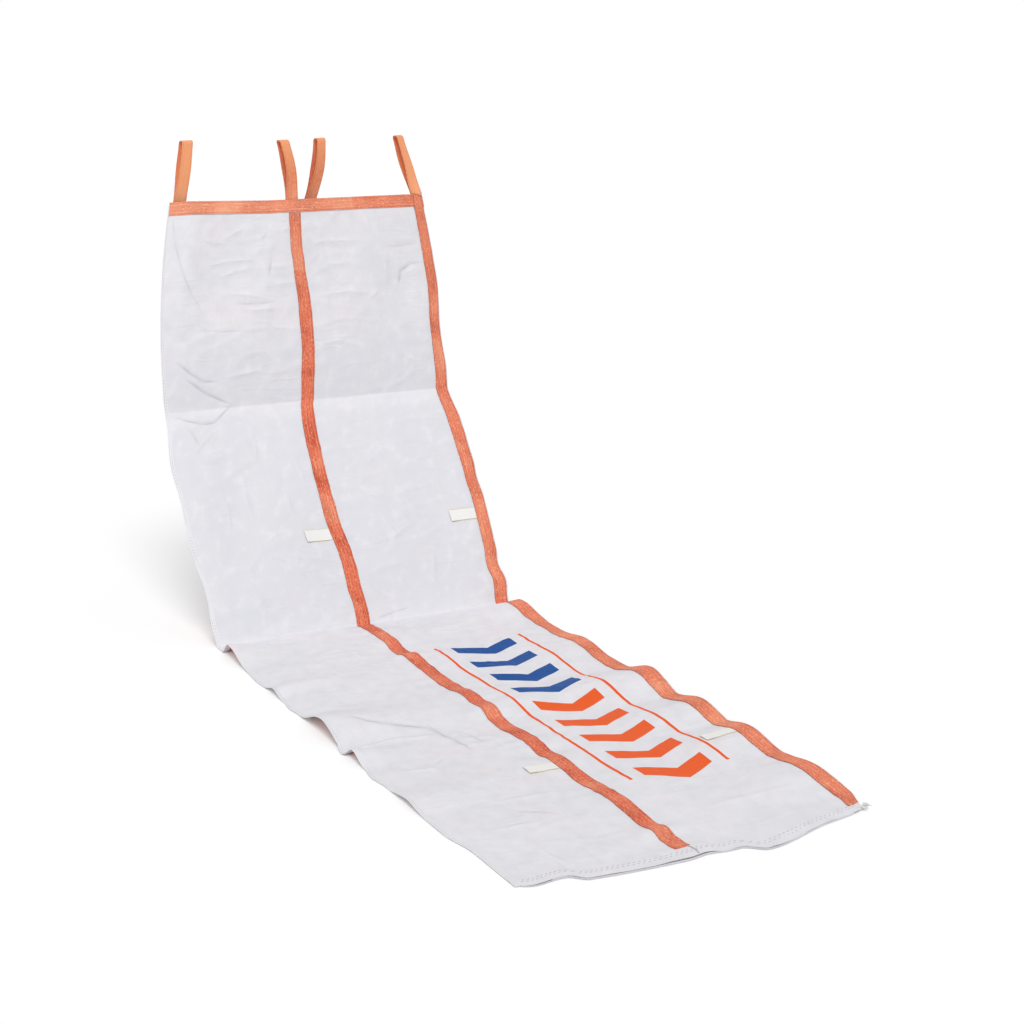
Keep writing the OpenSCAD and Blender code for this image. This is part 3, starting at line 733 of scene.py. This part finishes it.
def one_fold(u, t, half, points):
    points = np.array(points) * MM
    steps = np.linalg.norm(np.diff(points, axis=0), axis=1)
    nearest, along, gone = np.full(u.shape, 9.0), np.zeros(u.shape), 0.0
    for a, b, step in zip(points[:-1], points[1:], steps):
        share = np.clip(((u - a[0]) * (b - a)[0] + (t - a[1]) * (b - a)[1]) / step ** 2, 0, 1)
        off = np.hypot(u - a[0] - share * (b - a)[0], t - a[1] - share * (b - a)[1])
        along = np.where(off < nearest, (gone + share * step) / steps.sum(), along)
        nearest = np.minimum(nearest, off)
        gone += step
    return np.exp(-((nearest / (FOLD_NARROW * half * MM)) ** 2)) * np.sin(np.pi * (0.1 + 0.8 * along))


def laid_folds(u, t):
    total = np.zeros(u.shape)
    for height, half, points in FOLDS:
        total += FOLD_GAIN * height * MM * one_fold(u, t, half, points)
    return total


print("fold gain", FOLD_GAIN)

# %% [markdown]
# Sewing pulls cloth tight, so the fabric is calm under each strap and puckers in short ripples beside it. The
# valleys stop before the front would pass through the back: the room between the layers limits them.

# %% Waves, crumples and puckers
STRAPS = {"left": (0.023, "back"), "front": (0.422, "front"), "back": (0.506, "back"), "right": (0.867, "front")}
BROAD, DRAPE, PLEATS = 3.0 * MM, 2.4 * MM, 1.8 * MM
CRUMPLE, PUCKER, SCALLOP = 0.8 * MM, 1.6 * MM, 5.5 * MM
FOLD_ROOM = 0.8
TABS = {"middle_front": ("front", STARTS[1] + 0.420), "middle_right": ("right", STARTS[1] + 0.413),
        "far_front": ("front", STARTS[3] + 0.335), "far_right": ("right", STARTS[3] + 0.372)}
TAB_CALM_U, TAB_CALM_T, TAB_FLAT_T = 0.080, 0.065, 0.022


def cloth_noise(u, t, size_u, size_t, seed):
    spots = zip((u / size_u).ravel().tolist(), (t / size_t).ravel().tolist())
    return np.array([noise.noise((x, y, seed)) for x, y in spots]).reshape(u.shape)


def ridge_lines(field):
    return np.clip(1 - 4.5 * np.abs(field), 0, 1) ** 2


def strap_calm(u, face):
    off = np.min([np.abs(u - at) for at, on in STRAPS.values() if on == face], 0)
    return off, ease((off - 0.4 * WEBBING_W) / WEBBING_W)


def tab_calm(u, t):
    """1 far from the tabs, 0 round the root of each, where the cloth lies still for the tab to turn."""
    still = 0.0
    for strap, at in TABS.values():
        off = np.maximum(np.abs(t - at) - TAB_FLAT_T, 0)
        still = np.maximum(still, hump(u - STRAPS[strap][0] + WEBBING_W / 2, TAB_CALM_U) * hump(off, TAB_CALM_T))
    return 1 - still


def layer_room(u, t):
    room = 0.0
    for k, share in enumerate(section_shares(u, t)):
        s = np.clip(t - STARTS[k], 0, LENGTHS[k])
        room = room + share * (front_face(k, u, s) - back_face(k, u, s))
    return np.maximum(room - 2 * FABRIC_T - LAYER_GAP, 0)


def front_folds(u, t):
    """How far the front cloth stands out of the smooth front face."""
    on_floor = ease((t - BEND_AT) / 0.04)
    off, calm = strap_calm(u, "front")
    broad = BROAD * cloth_noise(u, t, 0.21, 0.24, 1.3)
    patches = ease(0.35 + 1.6 * cloth_noise(u, t, 0.19, 0.17, 2.7))
    drape = DRAPE * patches * ridge_lines(cloth_noise(u + 0.15 * t, t, 0.17, 0.075, 4.1))
    drape = drape + PLEATS * cloth_noise(u + 0.1 * t, t, 0.055, 0.20, 8.8)
    fine = CRUMPLE * cloth_noise(u, t, 0.034, 0.027, 5.9)
    beat = t / 0.062 + 0.8 * cloth_noise(u, t, 0.4, 0.11, 6.4)
    pucker = PUCKER * np.sin(2 * np.pi * beat) * np.exp(-np.maximum(off - WEBBING_W / 2, 0) / 0.035)
    beat = t / 0.230 + 1.0 * cloth_noise(0 * u, t, 1.0, 0.27, 7.7)
    scallop = SCALLOP * on_floor * np.sin(2 * np.pi * beat) * hump(u - STRAPS["front"][0], 0.10)
    total = (laid_folds(u, t) + drape + fine) * (0.25 + 0.75 * calm) + broad + pucker * (0.4 + 0.6 * calm)
    total = (total + scallop) * open_share(u) * ease(t / 0.06 + 0.15) * tab_calm(u, t)
    return np.maximum(total, -FOLD_ROOM * layer_room(u, t))


def back_folds(u, t):
    """The same for the back cloth, outwards again; on the floor it lies flat."""
    hung = 1 - ease((t - BEND_AT + 0.10) / 0.10)
    broad = BROAD * cloth_noise(u, t, 0.24, 0.22, 11.3)
    drape = DRAPE * ridge_lines(cloth_noise(u - 0.2 * t, t, 0.15, 0.08, 14.1))
    fine = CRUMPLE * cloth_noise(u, t, 0.034, 0.027, 15.9)
    return np.maximum(broad + drape + fine, 0) * open_share(u) * hung * ease(t / 0.06 + 0.15)


def front_point(u, t, extra=0.0):
    u, t = np.broadcast_arrays(np.asarray(u, float), np.asarray(t, float))
    return tube_point(u, t, front_face, front_folds(u, t) + extra)


def back_point(u, t, extra=0.0):
    u, t = np.broadcast_arrays(np.asarray(u, float), np.asarray(t, float))
    return tube_point(u, t, back_face, -back_folds(u, t) - extra)


FACES = {"front": front_point, "back": back_point}
print("pucker pitch 62 mm, crumple", CRUMPLE)

# %% [markdown]
# The tube itself: rows of points run round it, across the front from left to right and back across the rear.
# A narrow extra column at each side rounds the folded edge. It is cut in the middle of the second and third
# sections, far from the folds, because each of the three pieces has to bend over one fold only.

# %% Fabric tube
ROW_STEP = {"hung": 5.4 * MM, "bend": 5.4 * MM, "outlet": 6.9 * MM}
CUTS = {"hung": (0.0, 0.9375), "bend": (0.9375, 1.7175), "outlet": (1.7175, TOTAL)}
FOLD_ROWS = np.array([-9, -6, -3, -1, 1, 3, 6, 9]) * MM


def long_rows(start, end):
    steps = np.concatenate([np.arange(low, high, ROW_STEP[part]) for part, (low, high) in CUTS.items()])
    keys = np.concatenate([STARTS[1:4]] + [fold + FOLD_ROWS for fold in STARTS[1:4]])
    keys = np.concatenate([keys, [cut[1] for cut in CUTS.values()], [start, end]])
    keys = keys[(keys >= start) & (keys <= end)]
    clear = np.min(np.abs(steps[:, None] - keys[None]), 1) > 1.8 * MM
    clear = clear & (steps > start) & (steps < end)
    return np.unique(np.round(np.concatenate([steps[clear], keys]), 6))


def piece_rows(rows, part):
    return tuple(int(np.argmin(np.abs(rows - edge))) for edge in CUTS[part])


edge_columns = np.array([0.0, 1.5, 4.0, 8.5]) * MM


def side_columns(count):
    inner = np.linspace(14 * MM, TUBE_W - 14 * MM, count)
    return np.concatenate([edge_columns, inner, TUBE_W - edge_columns[::-1]])


front_columns, back_columns = side_columns(162), side_columns(70)
rows = long_rows(0.0, TOTAL)
uu, tt = np.meshgrid(front_columns, rows)
front_out, front_in = front_point(uu, tt), front_point(uu, tt, -FABRIC_T)
# How deep each point of the front lies in a fold valley, stored for the painted shade of the valleys.
valley_shading = np.clip(-laid_folds(uu, tt) / (3 * MM), 0, 1)
uu, tt = np.meshgrid(back_columns, rows)
back_out, back_in = back_point(uu, tt), back_point(uu, tt, -FABRIC_T)


def rounded(a, b, swell_by):
    middle = (a + b) / 2
    middle[..., 0] += swell_by
    return middle[:, None]


ROUNDING = 1.0 * MM
skin_out = np.concatenate([front_out, rounded(front_out[:, -1], back_out[:, -1], ROUNDING), back_out[:, ::-1],
                           rounded(front_out[:, 0], back_out[:, 0], -ROUNDING)], 1)
skin_in = np.concatenate([front_in, rounded(front_in[:, -1], back_in[:, -1], 0.0), back_in[:, ::-1],
                          rounded(front_in[:, 0], back_in[:, 0], 0.0)], 1)
ring_u = np.concatenate([front_columns, [TUBE_W], back_columns[::-1], [0.0]])
ring_side = np.concatenate([np.zeros(len(front_columns)), [0.5], np.ones(len(back_columns)), [0.5]])
skin_weave = np.stack(np.broadcast_arrays(ring_u[None], rows[:, None], ring_side[None]), -1)
skin_valley_shade = np.zeros(skin_weave.shape[:2])
skin_valley_shade[:, :len(front_columns)] = valley_shading
skin = {}
for part in CUTS:
    skin[part] = closed_sheet(part + "_fabric", skin_out, skin_in, skin_weave, fabric, wrap=True,
                              rows=piece_rows(rows, part), fold=skin_valley_shade)
    print(skin[part].name, "faces", len(skin[part].data.polygons))

# %% [markdown]
# A flat-cut tube is closed by one seam. Its allowance stands out along the left edge as a narrow doubled strip
# with two rows of stitches, a little wavy where the edge lies free.

# %% Side seam
SEAM_WAVE = 1.2 * MM
seam_columns = np.array([-SEAM_W, -0.85 * SEAM_W, -0.6 * SEAM_W, -0.35 * SEAM_W, -0.1 * SEAM_W, -0.4 * MM])
seam_u, seam_t = np.meshgrid(seam_columns, rows)
flutter = SEAM_WAVE * cloth_noise(seam_u, seam_t, 0.03, 0.045, 21.0) * (-seam_u / SEAM_W)
thin = 0.5 * MM * ease((-seam_u - 0.8 * SEAM_W) / (0.2 * SEAM_W))
seam_top = tube_point(seam_u, seam_t, front_face, flutter - thin)
seam_low = tube_point(seam_u, seam_t, back_face, flutter + thin)
seam_weave = np.stack([seam_u, seam_t, 0 * seam_u], -1)
seam = {part: closed_sheet("side_seam_" + part, seam_top, seam_low, seam_weave, seam_cloth,
                           rows=piece_rows(rows, part)) for part in CUTS}
print("seam pieces:", [piece.name for piece in seam.values()])

# %% [markdown]
# Four webbing straps run the whole length, two on the front and two on the back, and carry the load from the
# loops. A strap is a grid of nine lines across: thin selvedges, a flat middle, and edges that curl up a little
# where the cloth puckers. The right one runs on up over the hem.

# %% Webbing straps
STRAP_ACROSS = np.array([-1, -0.95, -0.72, -0.36, 0, 0.36, 0.72, 0.95, 1])
STRAP_STOP = {"left": 44 * MM, "front": 42 * MM, "back": 44 * MM, "right": 28 * MM}
CURL, WANDER_U, RAGGED = 1.0 * MM, 2.0 * MM, 1.6 * MM
HEM_STEP, HEM_W, HEM_TOP = STRAP_RISE + 0.2 * MM, 37.5 * MM, -2.0 * MM
FRONT_START, START_OVER = 6.5 * MM, 0.16


def strap_grids(at, on, strap_rows, over_hem):
    share, t = np.meshgrid(STRAP_ACROSS, strap_rows)
    turn = 1 if on == "front" else -1
    swing = WANDER_U * cloth_noise(0 * t + at, t, 1.0, 0.085, 31.0)
    swing = swing + RAGGED * share * cloth_noise(share + at, t, 1.0, 0.045, 33.0)
    if at == STRAPS["front"][0]:
        swing = swing + FRONT_START * (1 - ease(t / START_OVER))
    u = np.clip(at + share * WEBBING_W / 2 + swing, 0.5 * MM, TUBE_W - 0.5 * MM)
    curl = CURL * np.abs(share) ** 3 * np.clip(cloth_noise(share * 0.7 + at, t, 1.0, 0.050, 35.0) + 0.15, 0, 1)
    on_floor = ease((t - BEND_AT + 0.05) / 0.05) if on == "back" else 0.0
    over = HEM_STEP * (1 - ease((t - WEBBING_W) / 0.012)) if over_hem else 0.0
    low = LAYER_GAP * 0.6 + curl * (1 - on_floor) + over
    thick = WEBBING_T * np.where(np.abs(share) == 1, 0.55, 1.0)
    rim = (WEBBING_T - thick) / 2
    place = FACES[on]
    bleach = 0.24 if over_hem else 0.28 * (1 - ease(t / 0.55))
    weave = np.stack([turn * share * WEBBING_W / 2, t + at, 0 * t + bleach], -1)
    return place(u, t, low + rim + thick), place(u, t, low + rim), weave


straps = {}
for name, (at, on) in STRAPS.items():
    over_hem = name == "right"
    strap_rows = long_rows(HEM_TOP - 0.3 * MM if over_hem else HEM_W, TOTAL - STRAP_STOP[name])
    outer, inner, weave = strap_grids(at, on, strap_rows, over_hem)
    if on == "back":
        outer, inner, weave = (grid[:, ::-1] for grid in (outer, inner, weave))
    for part in CUTS:
        label = f"{name}_strap_{part}"
        straps[name, part] = closed_sheet(label, outer, inner, weave, webbing, rows=piece_rows(strap_rows, part))
print("strap pieces:", len(straps))

# %% [markdown]
# The mouth is bound with one more length of webbing, sewn right round it. Here the grid runs the other way:
# its columns follow the mouth and close on themselves, and its rows cross the webbing.

# %% Mouth hem
HEM_EDGE, HEM_WAVE, HEM_DIP = 0.4 * MM, 0.5 * MM, 0.6 * MM
hem_across = np.array([0, 0.025, 0.14, 0.32, 0.5, 0.68, 0.86, 0.975, 1]) * HEM_W + HEM_TOP
hem_columns = side_columns(120)
hem_u, hem_t = np.meshgrid(hem_columns, hem_across)
hem_edge = np.where((hem_t == hem_across[0]) | (hem_t == hem_across[-1]), HEM_EDGE, 0.0)
hem_wave = HEM_WAVE * cloth_noise(hem_u, hem_t, 0.05, 1.0, 41.0)
hem_dip = HEM_DIP * ease((hem_t - 0.8 * HEM_W) / (0.2 * HEM_W)) * cloth_noise(hem_u, hem_t, 0.03, 1.0, 43.0)


def hem_ring(extra):
    front = front_point(hem_u, hem_t, extra + hem_wave + hem_dip)
    rear = back_point(hem_u, hem_t, extra + hem_wave)
    bulge = float(np.mean(extra))
    return np.concatenate([front, rounded(front[:, -1], rear[:, -1], ROUNDING + bulge), rear[:, ::-1],
                           rounded(front[:, 0], rear[:, 0], -ROUNDING - bulge)], 1)


hem_out = hem_ring(STRAP_RISE + LAYER_GAP - hem_edge)
hem_in = hem_ring(LAYER_GAP + hem_edge)
hem_v = (hem_across - hem_across.mean())[:, None]
hem_along = np.concatenate([hem_columns, [TUBE_W], 2 * TUBE_W - hem_columns[::-1], [2 * TUBE_W]])[None]
hem_bleach = np.interp(hem_along, [0, TUBE_W, 2 * TUBE_W], [0.66, 0.24, 0.66])
hem_weave = np.stack(np.broadcast_arrays(hem_v, hem_along, hem_bleach), -1)
mouth_hem = closed_sheet("mouth_hem", hem_out, hem_in, hem_weave, webbing, wrap=True)
print(mouth_hem.name, "faces", len(mouth_hem.data.polygons))

# %% [markdown]
# Each loop is webbing folded over a hook, so it is a closed ring seen from the side: two legs that meet at the
# hem and part towards a round crown. It starts straight and then leans, and twists a little, as limp webbing
# does. The ring goes round two circles as in the CAD model, a little slimmer, and stands on the same root.

# %% Hanging loops
CROWN_R, ROOT_R, LOOP_W = 8 * MM, WEBBING_T + LAYER_GAP / 2, 38 * MM
# The last pair is how far each loop is brightened towards fresh orange at its root and at its crown: partly fresher
# webbing, partly painted light.
LOOPS = {
    "left": (174, (10, 31, -4), 18, (1.0, 1.0)),
    "front": (171, (-2.5, -1, -23), 26, (0.20, 1.0)),
    "back": (180, (-1, 69, -34), 28, (0.20, 0.90)),
    "right": (177, (0, -73, 13), 36, (1.0, 0.90)),
}
LOOP_POINTS, LEG_BOW = 72, 5.0 * MM


def circle_part(centre, radius, start, turn, count):
    angle = start + turn * np.linspace(0, 1, count)
    return np.stack([radius * np.cos(angle), centre + radius * np.sin(angle)], 1)


def loop_outline(height):
    crown_z = height - CROWN_R
    lean = math.asin((CROWN_R - ROOT_R) / crown_z)
    ring = np.concatenate([circle_part(crown_z, CROWN_R, -lean, math.pi + 2 * lean, 40),
                           circle_part(0, ROOT_R, math.pi + lean, math.pi - 2 * lean, 16)])
    ring = np.concatenate([ring, ring[:1]])
    run = np.concatenate([[0], np.cumsum(np.linalg.norm(np.diff(ring, axis=0), axis=1))])
    at = np.linspace(0, run[-1], LOOP_POINTS, endpoint=False)
    return np.stack([np.interp(at, run, ring[:, i]) for i in (0, 1)], 1), at


def loop_grid(depth, root, height, path, twist, fresh_and_lit):
    """Points of one face of a loop, depth inside its outline."""
    ring, at = loop_outline(height * MM)
    heading = np.roll(ring, -1, 0) - np.roll(ring, 1, 0)
    heading /= np.linalg.norm(heading, axis=1, keepdims=True)
    inward = np.stack([-heading[:, 1], heading[:, 0]], 1)
    ring = ring + inward * depth
    share = np.clip(ring[:, 1] / (height * MM), 0, 1)
    ring[:, 0] += LEG_BOW * np.sign(ring[:, 0]) * np.sin(np.pi * share) ** 2
    side = STRAP_ACROSS[:, None] * LOOP_W / 2
    angle = math.radians(twist) * (1 - (1 - share) ** 2)
    sideways = (path[0] + path[1] * share + path[2] * share ** 2) * MM
    x = side * np.cos(angle) - ring[:, 0] * np.sin(angle) + sideways
    y = side * np.sin(angle) + ring[:, 0] * np.cos(angle)
    z = np.broadcast_to(ring[:, 1], x.shape)
    weave = np.stack(np.broadcast_arrays(side, at[None], -fresh_and_lit[0] - (fresh_and_lit[1] - fresh_and_lit[0]) * share), -1)
    return np.stack([x, y, z], -1) + root, weave


loops = {}
thin_edge = np.where(np.abs(STRAP_ACROSS) == 1, 0.35 * MM, 0.0)[:, None]
for name, shape in LOOPS.items():
    root = np.array(joints[name + "_loop_swing"]["pos_m"])
    outer, weave = loop_grid(0.0, root, *shape)
    inner, weave = loop_grid(WEBBING_T, root, *shape)
    ends = thin_edge[..., None] / WEBBING_T
    outer, inner = outer + (inner - outer) * ends, inner + (outer - inner) * ends
    loops[name] = closed_sheet(name + "_hanging_loop", outer, inner, weave, webbing, wrap=True)
print("loops:", [piece.name for piece in loops.values()])

# %% [markdown]
# Small tape tabs come out from under the two front straps. They mark where the chute folds for storage, and
# they lie loose on the fabric, so each one curls up a little towards its free end.

# %% Tabs
TAB_LEN, TAB_T, TAB_ROOT, TAB_UNDER, TAB_CURL = 78 * MM, 1.2 * MM, 3 * MM, 1.5 * MM, 2 * MM
TAB_ACROSS = np.array([-1, -0.96, -0.7, -0.35, 0, 0.35, 0.7, 0.96, 1])
tabs = {}
for name, (strap, at) in TABS.items():
    root_u = STRAPS[strap][0] - WEBBING_W / 2 - TAB_ROOT
    run = np.linspace(0, 1, 17)
    away, side = np.meshgrid(run[::-1], TAB_ACROSS)
    u, t = root_u + TAB_UNDER - away * TAB_LEN, at + side * TAB_W / 2
    up = TAB_CURL * away ** 2.2 * (1 + 0.5 * side * np.sin(7 * at)) + 0.5 * MM * np.sin(9 * away + 5 * at) * away
    thick = TAB_T * np.where(np.abs(side) == 1, 0.6, 1.0)
    low = 2 * LAYER_GAP + np.maximum(up, 0)
    weave = np.stack([side * TAB_W / 2, away * TAB_LEN, 0 * side], -1)
    tabs[name] = closed_sheet(name + "_tape_tab", front_point(u, t, low + thick), front_point(u, t, low), weave, tape)
print("tabs:", [piece.name for piece in tabs.values()])

# %% [markdown]
# At the outlet the fabric is turned in and sewn. The turned layer is seen only through the opening, but the
# row of stitches shows all along the edge. One stitch is modelled from a low sphere and copied along the row,
# lying on the cloth and turned to follow it. The sphere's corners are sorted first, because Blender numbers
# them in a different order from run to run.

# %% Turned hem and its stitches
OUTLET_HEM, TURNED_TO, STITCH_LEN, STITCH_R = 38 * MM, 0.844, 6.5 * MM, 0.6 * MM
STITCH_ROWS, STITCH_EVERY, STITCH_FROM, STITCH_END = [18 * MM, 26 * MM], 13.0 * MM, 12 * MM, 22 * MM
STITCH_UP = 0.35 * STITCH_R
hem_rows = np.linspace(TOTAL - OUTLET_HEM, TOTAL - 0.5 * MM, 8)
turned_u, turned_t = np.meshgrid(np.linspace(EDGE_W, TURNED_TO, 90), hem_rows)
turned_weave = np.stack([turned_u, turned_t, 1 + 0 * turned_u], -1)
under = -FABRIC_T - LAYER_GAP
outlet_front = closed_sheet("outlet_hem_top", front_point(turned_u, turned_t, under),
                            front_point(turned_u, turned_t, under - FABRIC_T), turned_weave, fabric)
rear_out = back_point(turned_u, turned_t, under)[:, ::-1]
rear_in = back_point(turned_u, turned_t, under - 0.8 * FABRIC_T)[:, ::-1]
outlet_back = closed_sheet("outlet_hem_bottom", rear_out, rear_in, turned_weave[:, ::-1], fabric)


def lowest_first(face):
    first = face.index(min(face))
    return face[first:] + face[:first]


bpy.ops.object.select_all(action="DESELECT")
bpy.ops.mesh.primitive_uv_sphere_add(segments=6, ring_count=5, radius=STITCH_R)
one_stitch = bpy.context.object
bpy.ops.object.mode_set(mode="EDIT")
bpy.ops.transform.resize(value=(STITCH_LEN / (2 * STITCH_R), 1, 0.8))
bpy.ops.object.mode_set(mode="OBJECT")
corners = [tuple(vertex.co) for vertex in one_stitch.data.vertices]
in_order = sorted(range(len(corners)), key=lambda i: [round(c / MM, 4) for c in corners[i]])
rank = {old: new for new, old in enumerate(in_order)}
stitch_points = np.array([corners[i] for i in in_order])
stitch_faces = sorted(lowest_first([rank[i] for i in face.vertices]) for face in one_stitch.data.polygons)
bpy.data.objects.remove(one_stitch)


def stitch_row(name, u, t, place):
    """Copies of the stitch along a line of addresses, joined in one piece."""
    here, ahead, deeper = (place(u + du, t - dt, STITCH_UP) for du, dt in ((0, 0), (MM, 0), (0, MM)))
    x = (ahead - here) / np.linalg.norm(ahead - here, axis=1, keepdims=True)
    z = np.cross(x, deeper - here)
    z /= np.linalg.norm(z, axis=1, keepdims=True)
    y = np.cross(z, x)
    moved = here[:, None] + sum(stitch_points[None, :, i, None] * axis[:, None] for i, axis in enumerate((x, y, z)))
    faces = [[i * len(stitch_points) + c for c in face] for i in range(len(u)) for face in stitch_faces]
    return link_mesh(name, moved.reshape(-1, 3), faces, thread)


one_row = np.arange(STITCH_FROM, TUBE_W - STITCH_END, STITCH_EVERY)
stitch_u = np.concatenate([one_row + STITCH_EVERY / 2 * i for i in range(len(STITCH_ROWS))])
stitch_t = np.repeat(TOTAL - np.array(STITCH_ROWS), len(one_row))
stitches = stitch_row("outlet_stitches", stitch_u, stitch_t, front_point)
print("stitches:", len(stitch_u), "faces", len(stitches.data.polygons))

# %% [markdown]
# A few loose thread ends finish the outlet: one runs on from the end of the front strap to the edge, and a
# frayed knot sticks out at the right corner. A curve with a round bevel gives a thread, made a mesh at once.

# %% Thread ends
def thread_piece(name, paths, radius, material):
    curve = bpy.data.curves.new(name, "CURVE")
    curve.dimensions, curve.bevel_depth, curve.bevel_resolution = "3D", radius, 1
    curve.use_fill_caps = True
    for path in paths:
        spline = curve.splines.new("NURBS")
        spline.points.add(len(path) - 1)
        for point, place in zip(spline.points, path):
            point.co = (*place, 1)
        spline.use_endpoint_u, spline.order_u = True, 3
    piece = bpy.data.objects.new(name, curve)
    bpy.context.collection.objects.link(piece)
    bpy.ops.object.select_all(action="DESELECT")
    piece.select_set(True)
    bpy.context.view_layer.objects.active = piece
    bpy.ops.object.convert(target="MESH")
    piece = bpy.context.object
    piece.data.materials.clear()
    piece.data.materials.append(material)
    return piece


end_t = np.linspace(TOTAL - STRAP_STOP["front"] - 4 * MM, TOTAL - 1 * MM, 7)
end_u = STRAPS["front"][0] + 0.012 + 0.004 * np.sin(np.linspace(0, 3, 7))
end_path = front_point(end_u, end_t, 0.9 * MM)
corner = front_point(TUBE_W - 0.016, TOTAL - 0.004, 1.0 * MM)
draws = np.random.default_rng(5)
knot_paths = []
for i in range(22):
    reach = np.array([0.006 + 0.012 * draws.random(), -0.014 * draws.random(), 0.012 * draws.random()])
    bend = 0.005 * (draws.random((4, 3)) - 0.5)
    knot_paths.append([corner + reach * f + bend[j] * (f > 0) for j, f in enumerate((0, 0.35, 0.7, 1.0))])
thread_ends = thread_piece("thread_ends", [end_path], 0.9 * MM, thread)
corner_tuft = thread_piece("corner_tuft", knot_paths, 1.0 * MM, frayed)
print("thread paths:", 1 + len(knot_paths))

# %% [markdown]
# Last, the mouth hem, the turned outlet hems, the stitches and the thread ends each ride on one body, and
# every other piece has its place baked into its points. The CAD sheets that these pieces stand for are
# hidden and stay in the physics model.

# %% Bodies and replaced nodes
PARTS = {"hung": ("upper_section", "middle_section", 0), "bend": ("middle_section", "near_section", 1),
         "outlet": ("near_section", "far_section", 2)}
BEND_REACH = 0.035
STANDS_FOR = {"hung": ["upper"], "bend": ["middle", "near"], "outlet": ["far"]}


def fold_ends(k):
    hinge = section_at[k] + LENGTHS[k] * DOWN[k] + FOLD_GAP * OUT[k]
    before, after = hinge - BEND_REACH * DOWN[k], hinge + BEND_REACH * DOWN[k + 1]
    return (0, *before), (0, *after)


def panels(section):
    sides = ("top", "bottom") if section in ("near", "far") else ("front", "back")
    return [f"{section}_{side}_panel" for side in sides]


def sewn(piece):
    """A limp piece, with its place baked into its points."""
    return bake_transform(piece)


for part, (upper, lower, k) in PARTS.items():
    before, after = fold_ends(k)
    sections = STANDS_FOR[part]
    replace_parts(skin[part], *[node for section in sections for node in panels(section)])
    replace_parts(seam[part], *[section + "_side_seam" for section in sections])
    for name in STRAPS:
        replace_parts(straps[name, part], *[f"{section}_{name}_strap" for section in sections])
    for piece in [skin[part], seam[part]] + [straps[name, part] for name in STRAPS]:
        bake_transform(piece)

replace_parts(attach(mouth_hem, "upper_section"), "mouth_hem_front", "mouth_hem_back")
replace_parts(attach(outlet_front, "far_section"), "outlet_hem_front")
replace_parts(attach(outlet_back, "far_section"), "outlet_hem_back")
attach(stitches, "far_section")
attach(thread_ends, "far_section")
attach(corner_tuft, "far_section")
for name, piece in loops.items():
    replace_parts(sewn(piece), name + "_loop")
for name, piece in tabs.items():
    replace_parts(sewn(piece), name + "_tab")

# The two boxes are written down to compare: the cloth may stand only a little proud of the CAD model.

# %% Sheets, size and finish
for part, (start_t, end_t) in CUTS.items():
    on_it = [seam[part]] + [straps[name, part] for name in STRAPS]
    on_it += [mouth_hem] if part == "hung" else [stitches, thread_ends, corner_tuft] if part == "outlet" else []
